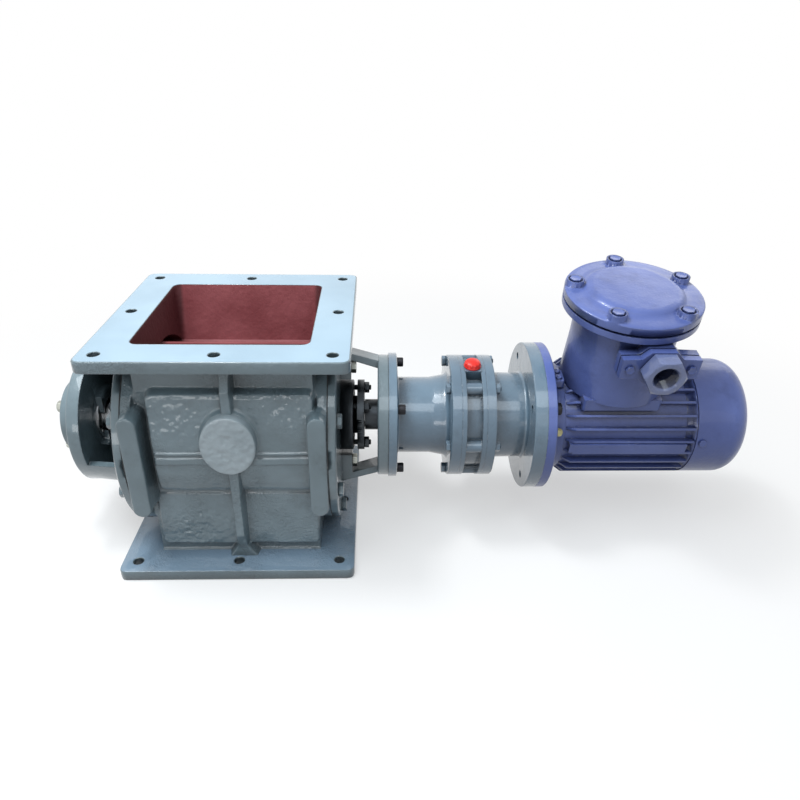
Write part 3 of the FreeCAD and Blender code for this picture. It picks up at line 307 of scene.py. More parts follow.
def enamel(name, colours, rough=0.24, edge=0.0022, coarse=1.0, gloss=0.8):
    """Glossy paint on a casting, with soft sand-cast waves under its orange peel.

    Dust lies on upward faces, and stains darken it at random. Painted shade darkens edges, inner
    corners, gaps and faces that look left, and edges are chipped to the metal.
    """
    f = Finish(name)
    main, light, dark = colours
    cloud = f.noise(9.0, 3.0)
    body = f.blend(cloud.step(0.35, 0.65), main, light)
    edges = f.edge_wear_and_shade(edge)
    x, _, z = f.facing()
    dusty = z.step(0.55, 1.0) * f.noise(55.0, 4.0, 0.6).step(0.42, 0.7) * 0.22
    body = f.blend(dusty, body, light)
    # Random stains, and painted shade along edges and in inner corners.
    stains_and_edge_shade = f.noise(26.0, 5.0, 0.65).step(0.5, 0.78) * 0.30 + edges.step(0.02, 0.3) * 0.22
    body = f.blend(stains_and_edge_shade.least(1.0), body, dark)
    # Painted shade in gaps and recesses, by how much of the near space is blocked.
    body = f.blend(f.shade_in_gaps(PAINTED_SHADE_REACH).step(0.16, 0.72) * 0.8, body, dark)
    # Painted shade on faces that look left.
    body = f.blend((0.0 - x).step(0.6, 0.95) * 0.3, body, dark)
    chips = edges.step(0.08, 0.35) * f.noise(140.0, 3.0, 0.6).step(0.56, 0.64)
    body = f.blend(chips * 0.5, body, CHIPPED_METAL)
    f.set(Base_Color=body, Metallic=0.0, IOR=1.5, Specular_IOR_Level=0.32)
    f.set(Roughness=rough + cloud * 0.08 + stains_and_edge_shade * 0.18)
    f.set(Coat_Weight=gloss, Coat_Roughness=0.06)
    peel = f.noise(420.0, 2.0) * 0.25
    skin = peel + f.noise(60.0 * coarse, 3.0, 0.55) + f.noise(19.0, 2.0) * 1.6
    f.relief(skin, 0.0013, 0.7, edge)
    return f


def steel(name, colour, rough=0.32, edge=0.0006, oily=0.0, metal=1.0, brushed=(1.0, 1.0, 1.0)):
    """Machined or plated steel: fine turning marks, stains and bright edges."""
    f = Finish(name)
    stain = f.noise(48.0, 4.0, 0.6)
    body = f.blend(stain.step(0.45, 0.75) * 0.55, colour, shade(colour, 0.55))
    edges = f.edge_wear_and_shade(edge)
    body = f.blend(edges.step(0.05, 0.4) * 0.6, body, shade(colour, 1.7, 0.03))
    f.set(Base_Color=body, Metallic=metal)
    f.set(Roughness=rough + stain * 0.16 - oily * 0.12)
    lines = f.noise(900.0, 2.0, 0.5, brushed)
    f.relief(lines * 0.35 + f.noise(90.0, 3.0), 0.0003, 0.6, edge)
    return f


def plain(name, colour, rough=0.5, edge=0.0008, grain=260.0, deep=0.0003):
    """Moulded or fibrous material: an even colour with a fine grain and small stains."""
    f = Finish(name)
    stain = f.noise(30.0, 4.0, 0.6)
    body = f.blend(stain.step(0.4, 0.8) * 0.35, colour, shade(colour, 0.6))
    f.set(Base_Color=body, Roughness=rough + stain * 0.12)
    f.relief(f.noise(grain, 3.0), deep, 0.7, edge)
    return f


def primer_colour(f, cloud, x):
    """Red-brown primer with paler patches, and painted shade on the throat's end walls."""
    body = f.blend(cloud.step(0.35, 0.7), *PRIMER)
    return f.blend(abs(x).step(*END_WALL) * 0.75, body, END_WALL_SHADE)


def primer_finish():
    """Matt primer with a brushed, uneven skin."""
    f = Finish("red_primer")
    cloud = f.noise(14.0, 4.0, 0.6)
    body = primer_colour(f, cloud, f.place()[0])
    f.set(Base_Color=body, Roughness=0.5 + cloud * 0.2, Specular_IOR_Level=0.3)
    f.set(Coat_Weight=0.08, Coat_Roughness=0.3)
    f.relief(f.noise(120.0, 4.0, 0.6) + f.noise(30.0, 3.0), 0.0012, 0.6, 0.0012)
    return f


def valve_finish():
    """The valve body: enamel outside, primer in throats and bore, paler milled flange faces.

    The milled faces' pale tone is in part painted sky reflection, and a bluish lift on the outlet
    flange's upper side is painted sky reflection.
    """
    f = enamel("valve_enamel", GREY, 0.26, 0.0022)
    outside = f.shader.inputs["Base Color"].links[0].from_socket
    x, y, z = f.place()
    up = f.facing()[2]
    face = (abs(z - FLANGES_MIDDLE) - FLANGES_HALF_GAP).step(0.0, 0.0002)
    milled = abs(up).step(0.97, 0.995) * face
    inside = abs(x).step(*THROAT_X) * abs(y).step(*THROAT_Y) * (1.0 - face)
    sheen = f.noise(7.0, 3.0)
    # Painted sky reflection: a bluish lift on upward faces of the outlet flange.
    outlet_sky_sheen = up.step(0.75, 1.0) * (z - OUTLET_TOP).step(0.002, 0.0)
    body = f.blend(outlet_sky_sheen * 0.6, outside, OUTLET_SKY_SHEEN)
    # Milled faces: pale metal, with a bluish lift that is painted sky reflection.
    body = f.blend(milled, body, f.blend(sheen.step(0.3, 0.7), *MILLED_FACE_AND_SKY_SHEEN))
    body = f.blend(inside, body, primer_colour(f, f.noise(16.0, 4.0, 0.6), x))
    f.set(Base_Color=body, Roughness=0.3 + sheen * 0.08 + inside * 0.25)
    f.set(Coat_Weight=0.8 - inside * 0.7)
    cast = (1.0 - inside) * (1.0 - milled)
    patch = f.noise(12.0, 2.0).step(0.45, 0.6) + 0.2
    skin = f.noise(60.0, 3.0, 0.55) + f.noise(19.0, 2.0) * 1.6
    sand = f.noise(230.0, 3.0, 0.7) * patch * cast * 3.2
    f.relief(skin * (cast * 0.7 + 0.3) + sand, 0.0013, 0.7, 0.0022)
    return f


all_looks = (
    enamel("enamel_grey", GREY, 0.26, 0.0024),
    enamel("enamel_reducer", REDUCER_GREY, 0.2, 0.0018, 0.7),
    enamel("enamel_violet", VIOLET, 0.3, 0.0016, 0.8, 0.35),
    steel("dark_steel", tone(62, 66, 70), 0.34, 0.0006, 0.6, 0.85),
    steel("zinc_steel", tone(182, 184, 176), 0.3, 0.0004),
    steel("black_steel", tone(38, 38, 42), 0.38, 0.0004, 0.4, 0.7),
    steel("bright_steel", tone(190, 192, 194), 0.22, 0.0004),
    steel("lamination", tone(120, 122, 126), 0.42, 0.0003, 0.0, 0.9, (40.0, 1.0, 1.0)),
    plain("copper", tone(168, 92, 48), 0.3, 0.0006, 900.0),
    plain("gasket", tone(46, 46, 46), 0.75),
    plain("packing", tone(70, 66, 58), 0.8, 0.0006, 500.0),
    plain("fan_plastic", tone(36, 37, 40), 0.55),
    plain("block_plastic", tone(62, 48, 40), 0.45),
    plain("red_plastic", tone(232, 44, 34), 0.28, 0.0008, 120.0, 0.0002),
    primer_finish(),
)
look_of_slot = {look.name: look for look in all_looks}
valve_enamel = valve_finish()
nut_enamel = enamel("nut_enamel", NUT_VIOLET)
# The boss's paler grey is painted highlight.
boss_enamel = enamel("boss_enamel", BOSS_HIGHLIGHT_GREY, 0.3, 0.0024, 2.5)
brass = steel("brass", tone(150, 146, 112), 0.34, 0.0004)

for name, part in subparts.items():
    look = valve_enamel if name == "valve_body" else look_of_slot[part["material_slot"]]
    for place in nodes[name].material_slots:
        place.material = look.material


# surfaces


def put(name, data):
    """An object in the scene."""
    thing = bpy.data.objects.new(name, data)
    bpy.context.scene.collection.objects.link(thing)
    return thing


def smooth(mesh, sharp):
    """Smooth faces, with creases where they meet at more than sharp degrees."""
    mesh.shade_smooth()
    mesh.set_sharp_from_angle(angle=math.radians(sharp))


def close_doubles(mesh, near, outward_faces=False):
    """Merge points that lie within near metres, and drop the faces that this flattens."""
    work = bmesh.new()
    work.from_mesh(mesh)
    bmesh.ops.remove_doubles(work, verts=work.verts, dist=near)
    bmesh.ops.dissolve_degenerate(work, edges=work.edges, dist=1e-7)
    if outward_faces:
        bmesh.ops.recalc_face_normals(work, faces=work.faces)
    work.to_mesh(mesh)
    work.free()


def settle(mesh, name, body, slot, stands_for, sharp, look=None):
    """Give a mesh its creases and finish, and hang it on the body that it rides on."""
    smooth(mesh, sharp)
    piece = put(name, mesh)
    mesh.materials.append((look or look_of_slot[slot]).material)
    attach(piece, body)
    if stands_for:
        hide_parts(*stands_for)
    return piece


def seat(points, rolled=False):
    """Points in millimetres about the shaft, put into the frame in metres.

    Pieces of the drive are first rolled about the shaft by a:
    y' = y cos a - z sin a, z' = y sin a + z cos a.
    """
    points = np.array(points, float)
    if rolled:
        a = math.radians(DRIVE_ROLL)
        y = points[..., 1] * math.cos(a) - points[..., 2] * math.sin(a)
        z = points[..., 1] * math.sin(a) + points[..., 2] * math.cos(a)
        points[..., 1] = y
        points[..., 2] = z
    points[..., 2] += SHAFT_UP
    return points / MM_IN_METRE


class Piece:
    """Grids of points gathered into one mesh that rides on the housing."""

    def __init__(self):
        self.points = []
        self.faces = []
        self.total = 0

    def grid(self, points, around=True, flip=False):
        """A grid (rows, columns, 3). Columns close on themselves where around is set."""
        rows, columns = points.shape[:2]
        index = np.arange(rows * columns).reshape(rows, columns) + self.total
        if around:
            index = np.concatenate([index, index[:, :1]], axis=1)
        a, b = index[:-1, :-1], index[:-1, 1:]
        c, d = index[1:, 1:], index[1:, :-1]
        order = (a, d, c, b) if flip else (a, b, c, d)
        self.faces.append(np.stack(order, axis=-1).reshape(-1, 4))
        self.points.append(points.reshape(-1, 3))
        self.total += rows * columns

    def mesh(self, name, rolled=False):
        points = seat(np.concatenate(self.points), rolled)
        faces = np.concatenate(self.faces)
        mesh = bpy.data.meshes.new(name)
        mesh.vertices.add(len(points))
        mesh.vertices.foreach_set("co", points.astype(np.float32).ravel())
        mesh.loops.add(faces.size)
        mesh.loops.foreach_set("vertex_index", faces.ravel().astype(np.int32))
        mesh.polygons.add(len(faces))
        mesh.polygons.foreach_set("loop_start", np.arange(0, faces.size, 4, dtype=np.int32))
        mesh.update(calc_edges=True)
        return mesh

    def finish(self, name, slot, stands_for, rolled=False, sharp=32.0, closed=True, look=None):
        """Build the mesh and settle it. A closed piece has its faces turned outward."""
        mesh = self.mesh(name, rolled)
        close_doubles(mesh, 2e-6, closed)
        return settle(mesh, name, "housing", slot, stands_for, sharp, look)


def round_at(radius, angle):
    """Y and Z at a radius, the angle counted from the front (-Y) upward."""
    a = math.radians(angle)
    return -radius * math.cos(a), radius * math.sin(a)


def turns(count, start=0.0):
    """Angles evenly spaced over one turn."""
    return np.linspace(0.0, FULL_TURN, count, endpoint=False) + start


def soft_line(points, steps=6):
    """A polyline whose corners are rounded. A corner is (along, radius, rounding).

    Each corner is replaced by a quadratic curve between the points a and b, at the rounding's
    distance on its two sides: p = (1-t)(1-t) a + 2 t (1-t) corner + t t b.
    """
    line = []
    for i, p in enumerate(points):
        here = np.array(p[:2], float)
        bend = p[2] if len(p) > 2 else 0.0
        if bend <= 0 or i in (0, len(points) - 1):
            line.append(here)
            continue
        before = np.array(points[i - 1][:2], float) - here
        after = np.array(points[i + 1][:2], float) - here
        near = min(bend, np.linalg.norm(before) * 0.49)
        far = min(bend, np.linalg.norm(after) * 0.49)
        a = here + before / np.linalg.norm(before) * near
        b = here + after / np.linalg.norm(after) * far
        for t in np.linspace(0.0, 1.0, steps):
            line.append((1 - t) ** 2 * a + 2 * t * (1 - t) * here + t * t * b)
    return np.array(line)


def axes_of(toward):
    """Two directions square to toward, and toward itself, each one long."""
    w = np.array(toward, float)
    w = w / np.linalg.norm(w)
    helper = np.array([0.0, 0.0, 1.0]) if abs(w[2]) < 0.9 else np.array([0.0, 1.0, 0.0])
    u = np.cross(helper, w)
    u = u / np.linalg.norm(u)
    return u, np.cross(w, u), w


def carried(rows, base, toward, a):
    """Rows of (along, radius), each a number or one per angle, carried round an axis.

    A point is base + along w + radius (cos a u + sin a v), with u, v and w from axes_of.
    """
    u, v, w = axes_of(toward)
    ring = np.cos(a)[:, None] * u + np.sin(a)[:, None] * v
    grid = []
    for row in rows:
        along, radius = (np.broadcast_to(value, a.shape)[:, None] for value in row)
        grid.append(np.array(base, float) + along * w + radius * ring)
    return np.array(grid)


def hexagon_edge(a, corner):
    """Distance to a hexagon's edge: corner cos 30 / cos(a mod 60 - 30)."""
    return corner * math.cos(HEX_TURN / 2) / np.cos(np.mod(a, HEX_TURN) - HEX_TURN / 2)


def hex_head(piece, base, toward, corner, tall, turn=0.0, washer=0.0):
    """A hexagon head, chamfered and slightly dished on top, on a washer if its radius is given.

    Toward points away from the seat. The chamfer lowers the top's rim by 0.55 times what the edge
    stands over 0.9 of the corner.
    """
    low = 0.0
    if washer:
        low = 1.6
        section = [
            (0, 0.05), (0, washer - 0.2), (0.2, washer), (1.35, washer), (low, washer - 0.3),
            (low, 0.05),
        ]
        piece.grid(carried(section, base, toward, turns(36)))
    a = turns(48, math.radians(turn))
    edge = hexagon_edge(a, corner)
    drop = np.maximum(edge - 0.9 * corner, 0.0) * 0.55
    rows = [
        (low, 0.0), (low, 0.93 * edge), (low + 0.35, 0.985 * edge), (low + 0.7, edge),
        (tall - drop, edge), (tall, np.minimum(edge, 0.87 * corner)),
        (tall - 0.25, 0.985 * np.minimum(edge, 0.80 * corner)), (tall - 0.3, POLE),
    ]
    piece.grid(carried(rows, base, toward, a))


def threaded(piece, base, toward, radius, long, pitch=1.25, count=20):
    """A threaded end with a small chamfer, a in turns: r = R - 0.54 p |2 frac(s / p - a) - 1|."""
    s = np.linspace(0.0, long, int(long / pitch * 6) + 2)
    a = turns(count)
    phase = np.mod(s[:, None] / pitch - a[None] / FULL_TURN, 1.0)
    r = radius - 0.54 * pitch * np.abs(2 * phase - 1.0)
    r = np.minimum(r, np.maximum(long - s, 0.0)[:, None] + radius - 1.2)
    piece.grid(carried([(0.0, POLE), *zip(s, r), (long, POLE)], base, toward, a))


def socket_head(piece, base, toward, radius, tall, knurls=36):
    """A socket cap head: knurled side, rounded rim and a hexagon pocket.

    The side's radius is R (1 - 0.022 |cos(n a / 2)|), and the pocket's edge is a hexagon's.
    """
    a = turns(knurls * 4)
    knurl = 1.0 - 0.022 * np.abs(np.cos(knurls * a / 2))
    pocket = hexagon_edge(a, radius * 0.52)
    rows = [
        (0.0, POLE), (0.0, radius * 0.96), (0.3, radius * 0.985 * knurl),
        (tall * 0.84, radius * knurl), (tall * 0.93, radius * 0.975), (tall, radius * 0.90),
        (tall, pocket * 1.10), (tall - 0.5, pocket), (tall * 0.45, pocket), (tall * 0.40, POLE),
    ]
    piece.grid(carried(rows, base, toward, a))


def shank(piece, base, toward, radius, long):
    """A plain round shank with closed ends."""
    end = 0.6
    line = [(0, POLE), (0, radius), (long - end, radius), (long, radius - end), (long, POLE)]
    piece.grid(carried(line, base, toward, turns(20)))


def smooth_copy(name):
    """A copy of a turned or cast CAD node, its doubles merged and its curved faces shaded smooth.

    Each corner's direction is the mean of its faces' directions, weighed by their area and angle,
    so flat faces stay flat and turned ones shine evenly.
    """
    part = subparts[name]
    skin = name + "_skin"
    mesh = nodes[name].data.copy()
    mesh.name = skin
    mesh.materials.clear()
    close_doubles(mesh, 1e-6)
    body = next(body for body, members in bodies.items() if name in members)
    piece = settle(mesh, skin, body, part["material_slot"], [name], 30.0)
    weigh = piece.modifiers.new("even", "WEIGHTED_NORMAL")
    weigh.mode = "FACE_AREA_WITH_ANGLE"
    weigh.keep_sharp = True


for name in (
    "cover_outboard", "cover_drive", "stuffing_box_outboard", "stuffing_box_drive",
    "gland_outboard", "gland_drive", "bearing_cap", "output_housing", "rear_shield", "fan_cover",
    "terminal_lid", "output_shaft",
):
    smooth_copy(name)


# the valve body as a casting


def blend_up(d, wide):
    """0 outside, 1 inside, an S over the width: t t (3 - 2 t) with t = d / wide + 0.5."""
    t = np.clip(d / wide + 0.5, 0.0, 1.0)
    return t * t * (3 - 2 * t)


def inside_box(x, z, middle_x, middle_z, half_x, half_z, corner):
    """Depth inside a rectangle with round corners: corner minus the length of the overhang."""
    x, z = np.abs(x - middle_x), np.abs(z - middle_z)
    over_x = np.maximum(x - (half_x - corner), 0.0)
    over_z = np.maximum(z - (half_z - corner), 0.0)
    near = np.minimum(half_x - x, half_z - z)
    return np.where((over_x > 0) & (over_z > 0), corner - np.hypot(over_x, over_z), near)


def lattice_noise(x, z, cell, seed):
    """Smooth noise from -1 to 1: seeded heights on a square lattice, blended by t t (3 - 2 t)."""
    size = 256
    heights = np.random.default_rng(seed).uniform(-1.0, 1.0, (size, size))
    i, j = np.floor(x / cell).astype(int), np.floor(z / cell).astype(int)
    u, v = x / cell - i, z / cell - j
    u, v = u * u * (3 - 2 * u), v * v * (3 - 2 * v)
    i, j, k, m = i % size, j % size, (i + 1) % size, (j + 1) % size
    low = heights[i, j] * (1 - u) + heights[k, j] * u
    high = heights[i, m] * (1 - u) + heights[k, m] * u
    return low * (1 - v) + high * v


def sand_skin(x, z):
    """The skin that the sand mould left, in mm: fine grain, coarse in a few patches."""
    patch = 0.14
    for middle_x, middle_z, wide, tall in ((-60, 62, 34, 28), (-50, -98, 44, 32), (70, 72, 34, 18)):
        patch = patch + np.exp(-((x - middle_x) / wide) ** 2 - ((z - middle_z) / tall) ** 2)
    grain = lattice_noise(x, z, 4.6, 3) * 0.75 + lattice_noise(x, z, 2.6, 5) * 0.42
    return np.minimum(patch, 1.0) * grain + lattice_noise(x, z, 13.0, 7) * 0.35


# Reach of panel, rib and neck by height, in mm: heights above the shaft, then distances from it.
PANEL_LINE = ([-46, -38, -28, -12, 0, 46, 88, 96], [114.5, 118, 121, 123.4, 124, 123, 119.5, 117])
RIB_LINE = ([-145, -131, -105, 101, 123, 135], [121.0, 121.0, 129.0, 129.0, 119.0, 119.0])
NECK_LINE = ([0, 40, 70], [110.0, 109.0, 106.4])


def casting_reach(x, z):
    """How far the casting stands out from the shaft's plane, x along the shaft and z above it.

    It starts at the neck with a cove into each flange. The two panels, their bands, the end rings,
    the rib with its foot, and coves round the boss and the two bars are each blended in by an S.
    """
    reach = np.interp(np.abs(z), *NECK_LINE) + 0.0 * x
    cove = 4.0
    for gap in (z - NECK_LOW, NECK_TOP - z):
        d = np.clip(cove - gap, 0.0, 3.9)
        reach = reach + (cove - np.sqrt(cove ** 2 - d * d)) * 0.9

    def raise_to(level, amount):
        return reach + np.maximum(level - reach, 0.0) * amount

    ring = np.sqrt(np.maximum(RING_RADIUS ** 2 - z * z, 0.0))
    reach = reach - np.maximum(reach - ring, 0.0) * blend_up(np.abs(x) - 105.0, 2.4)
    reach = raise_to(ring, blend_up(np.abs(x) - 107.5, 2.4) * blend_up(136.0 - np.abs(z), 2.0))
    cloud = np.sin(x * 0.11 + 1.3) * np.sin(z * 0.13) * 0.35 + np.sin(x * 0.05 - z * 0.07) * 0.4
    low_panel = 109.5 + (-52.0 - z) * 0.05 + cloud
    reach = raise_to(low_panel, blend_up(inside_box(x, z, *LOW_PANEL), 4.0))
    panel = np.interp(z, *PANEL_LINE) + cloud
    reach = raise_to(panel, blend_up(inside_box(x, z, *HIGH_PANEL), 5.0))
    bands = sum(blend_up(half - np.abs(z - level), edge) for level, half, edge in BANDS)
    reach = reach + 2.3 * bands * blend_up(95.0 - np.abs(x - HIGH_PANEL[0]), 3.0)
    low_foot = np.clip((-127.0 - z) / 18.0, 0.0, 1.0) * 12.0
    foot = low_foot + np.clip((z - 118.0) / 17.0, 0.0, 1.0) * 5.0
    rib = np.interp(z, *RIB_LINE)
    reach = raise_to(rib, blend_up(RIB_HALF + foot - np.abs(x - RIB_X), 3.0))
    wide, tall = BOSS_COVE
    boss = wide - wide * np.hypot((x - BOSS_X) / wide, (z - BOSS_Z) / tall)
    reach = raise_to(BOSS_COVE_REACH, blend_up(boss, 4.0))
    along_bar = np.clip(z, BAR_Z - BAR_STRAIGHT, BAR_Z + BAR_STRAIGHT)
    bar = BAR_COVE - np.hypot(np.abs(x) - BAR_X, z - along_bar)
    return raise_to(BAR_COVE_REACH, blend_up(bar, 3.0)) + sand_skin(x, z)


def valve_sheets():
    """Front and back of the casting as sheets y = -+reach(x, z), with its flat ends to the bore."""
    half = np.concatenate([
        np.arange(0, 15, 0.75), np.arange(15, 92, 1.3), np.arange(92, CAST_END, 0.7), [CAST_END],
    ])
    x = np.concatenate([-half[:0:-1], half])
    z = np.concatenate([
        np.arange(NECK_LOW - 0.5, -124, 0.7), np.arange(-124, -62, 1.2), np.arange(-62, -40, 0.8),
        np.arange(-40, -2, 1.3), np.arange(-2, 21, 0.6), np.arange(21, 84, 1.2),
        np.arange(84, 106, 0.8), np.arange(106, NECK_TOP, 1.1), [NECK_TOP + 0.5],
    ])
    grid_x, grid_z = np.meshgrid(x, z)
    bore = np.sqrt(np.maximum(BORE_RADIUS ** 2 - z * z, 0.0))
    share = np.linspace(0.0, 1.0, 4)
    for name, front in (("casting_front", -1), ("casting_back", 1)):
        reach = casting_reach(grid_x * -front, grid_z)
        piece = Piece()
        piece.grid(np.stack([grid_x, front * reach, grid_z], axis=-1), False, front > 0)
        for side in (-1, 1):
            edge = reach[:, -1] if side > 0 else reach[:, 0]
            span = edge[:, None] + (bore - edge)[:, None] * share[None]
            flat = np.full(span.shape, CAST_END * side)
            level = np.repeat(z[:, None], 4, axis=1)
            piece.grid(np.stack([flat, front * span, level], axis=-1), False, side * front > 0)
        piece.finish(
            name, "enamel_grey", ["valve_body"], sharp=50.0, closed=False, look=valve_enamel
        )


def round_rectangle(angle, half_a, half_b, corner):
    """Distance to a rectangle with round corners: to its sides, or to the corner's circle.

    With q the corner circle's middle, the ray d meets the circle at
    q.d + sqrt(corner^2 - |q|^2 + (q.d)^2).
    """
    c, s = np.abs(np.cos(angle)) + 1e-9, np.abs(np.sin(angle)) + 1e-9
    qa, qb = half_a - corner, half_b - corner
    flat = np.minimum(half_a / c, half_b / s)
    dot = qa * c + qb * s
    bent = dot + np.sqrt(np.maximum(corner ** 2 - qa ** 2 - qb ** 2 + dot ** 2, 0.0))
    in_corner = (flat * c > qa) & (flat * s > qb)
    return np.where(in_corner, bent, flat)


def valve_cavity():
    """The throats and the bore: at each level the larger of the throat and the bore's chord.

    A throat grows from 94 by 80 near the bore to 102.5 square, halves both, at the flange's face.
    """
    z = np.concatenate([
        [INLET_FACE - 0.4], np.arange(148, 112, -3.0), np.arange(112, 60, -0.9),
        np.arange(60, -60, -4.0), np.arange(-60, -112, -0.9), np.arange(-112, -158, -3.0),
        [OUTLET_FACE + 0.4],
    ])
    a = np.linspace(0, FULL_TURN, 361)[:-1] + 0.004
    rows = []
    for level in z:
        height = abs(level - (0 if level > 0 else -10))
        share = np.clip((height - 72.0) / 79.0, 0.0, 1.0)
        throat = round_rectangle(a, 94.0 + 8.5 * share, 80.0 + 22.5 * share, 10.0)
        chord = math.sqrt(max(BORE_RADIUS ** 2 - level ** 2, 0.01))
        bore = round_rectangle(a, CAST_END, chord, 0.01)
        r = np.maximum(throat * (abs(level) > 60), bore)
        rows.append(np.stack([r * np.cos(a), r * np.sin(a), np.full(a.shape, level)], axis=-1))
    piece = Piece()
    piece.grid(np.array(rows))
    piece.finish("valve_cavity", "red_primer", ["valve_body"], sharp=40.0, closed=False)


def outline_ring(half, corner, count):
    """A square outline with round corners, evenly spaced along its length."""
    straight = 2 * (half - corner)
    arc = corner * math.pi / 2
    total = 4 * (straight + arc)
    run = np.linspace(0, total, count, endpoint=False)
    quarter = total / 4
    side = (run // quarter).astype(int)
    run = run - side * quarter
    bend = np.maximum(run - straight, 0.0) / corner
    x = half - corner + corner * np.cos(bend)
    y = np.minimum(run, straight) - straight / 2 + corner * np.sin(bend)
    c, s = np.cos(side * math.pi / 2), np.sin(side * math.pi / 2)
    return np.stack([x * c - y * s, x * s + y * c], axis=-1)


def cut_holes(solid, holes, sharp):
    """Cut chamfered round holes through a piece. A hole is (middle, toward, radius, long)."""
    chamfer, past = 0.8, 2.0
    tool = Piece()
    for middle, toward, radius, long in holes:
        h = long / 2
        wide = radius + chamfer + past
        line = [
            (-h - past, POLE), (-h - past, wide), (-h + chamfer, radius), (h - chamfer, radius),
            (h + past, wide), (h + past, POLE),
        ]
        tool.grid(carried(line, middle, toward, turns(40)))
    drill = put("drill", tool.mesh("drill"))
    change = solid.modifiers.new("holes", "BOOLEAN")
    change.operation = "DIFFERENCE"
    change.solver = "EXACT"
    change.object = drill
    bpy.context.view_layer.update()
    drilled = solid.evaluated_get(bpy.context.evaluated_depsgraph_get())
    made = bpy.data.meshes.new_from_object(drilled)
    solid.modifiers.clear()
    solid.data = made
    smooth(made, sharp)
    bpy.data.objects.remove(drill)


# Sections of a flange's outer edge and of a bar, from the outline inward: (inset, depth or reach).
FLANGE_EDGE = (
    (3.4, 0.0), (1.7, 0.0), (0.8, 0.2), (0.25, 0.7), (0.0, 1.5), (0.0, 13.6), (0.3, 14.5),
    (1.2, 15.0),
)
BAR_EDGE = (
    (-0.9, 116), (-0.2, 130), (0, 137.4), (0.3, 138.6), (1.0, 139.3), (2, 139.5), (6, 139.5),
    (BAR_HALF, 139.5),
)


def valve_flanges():
    """Two square flanges: a section with rounded edges carried round the outline and closed."""
    count = 240
    outer = outline_ring(FLANGE_HALF, 9.0, count)
    throat = outline_ring(102.4, 10.0, count)
    throat_back = outline_ring(101.6, 10.0, count) * (1.0, 0.974)
    for name, face, back, sign in (
        ("inlet_flange", INLET_FACE, NECK_TOP, 1), ("outlet_flange", OUTLET_FACE, NECK_LOW, -1)
    ):
        section = [(outer * (1 - inset / FLANGE_HALF), face - drop * sign)
                   for inset, drop in FLANGE_EDGE]
        section += [
            (throat_back * 1.03, back), (throat_back, back), (throat * 0.997, face - 1.0 * sign),
            (throat, face - 0.3 * sign), (throat * 1.004, face), (throat * 1.016, face),
            section[0],
        ]
        piece = Piece()
        piece.grid(np.array([np.c_[ring, np.full(count, level)] for ring, level in section]))
        flange = piece.finish(
            name, "enamel_grey", ["valve_body"], sharp=40.0, look=valve_enamel
        )
        corners = ((-1, -1), (-1, 1), (1, -1), (1, 1))
        sides = ((0, -1), (0, 1), (-1, 0), (1, 0))
        middle = (face + back) / 2
        holes = [
            ((FLANGE_HOLE_AT * a, FLANGE_HOLE_AT * b, middle), Z_UP, FLANGE_HOLE_RADIUS, 15.0)
            for a, b in corners + sides
        ]
        cut_holes(flange, holes, 40.0)


def bosses_and_bars():
    """The oval boss and the two upright bars, front and back, with soft edges and a rough skin.

    The boss is a lathe line drawn out in height, and seeded lattice noise roughens its face.
    """
    bars = Piece()
    bosses = Piece()
    u = turns(96)
    for side in (-1, 1):
        side_line = soft_line(
            [(116, 34.0), (134, 33.0, 3), (BOSS_FACE, 32.4, 2.6), (BOSS_FACE, 28.0)], 8
        )
        face_line = np.stack([np.full(26, BOSS_FACE), np.linspace(27.5, 0.01, 26)], axis=-1)
        line = np.concatenate([side_line, face_line])
        boss = carried(line, (-BOSS_X * side, 0, BOSS_Z), (0, side, 0), turns(180))
        boss[..., 2] = BOSS_Z + (boss[..., 2] - BOSS_Z) * BOSS_OVAL
        coarse = lattice_noise(boss[..., 0], boss[..., 2], 6.5, 11)
        fine = lattice_noise(boss[..., 0], boss[..., 2], 2.6, 12)
        on_face = blend_up(np.abs(boss[..., 1]) - (BOSS_FACE - 0.8), 1.2)
        boss[..., 1] += side * (coarse * 0.75 + fine * 0.3 - 0.6) * on_face
        bosses.grid(boss)
        for middle in (-BAR_X, BAR_X):
            rows = []
            for inset, level in BAR_EDGE:
                r = BAR_HALF - inset
                end = np.where(np.sin(u) >= 0, BAR_STRAIGHT, -BAR_STRAIGHT)
                x, z = middle + r * np.cos(u), BAR_Z + r * np.sin(u) + end
                rows.append(np.stack([x, np.full(96, side * level), z], axis=-1))
            bars.grid(np.array(rows), True, side < 0)
    bars.finish("side_bars", "enamel_grey", ["valve_body"], sharp=50.0, closed=False)
    bosses.finish(
        "bosses", "enamel_grey", ["valve_body"], sharp=50.0, closed=False, look=boss_enamel
    )


valve_sheets()
valve_cavity()
valve_flanges()
bosses_and_bars()


# screws and nuts


def on_circle(x, radius, angle):
    """The point on a bolt circle about the shaft."""
    return (x, *round_at(radius, angle))


def hex_screw(piece, spot, away, size, long, turn=0.0, washer=0.0):
    """A hexagon head and the shank behind it."""
    corner, tall, radius = size
    hex_head(piece, spot, away, corner, tall, turn, washer)
    shank(piece, spot, tuple(-c for c in away), radius, long)


def socket_screw(piece, spot, size, long):
    """A socket cap head that looks toward the motor, and the shank behind it."""
    head, tall, radius = size
    socket_head(piece, spot, X_UP, head, tall)
    shank(piece, spot, X_DOWN, radius, long)


ENDS = ((-1, X_DOWN), (1, X_UP))


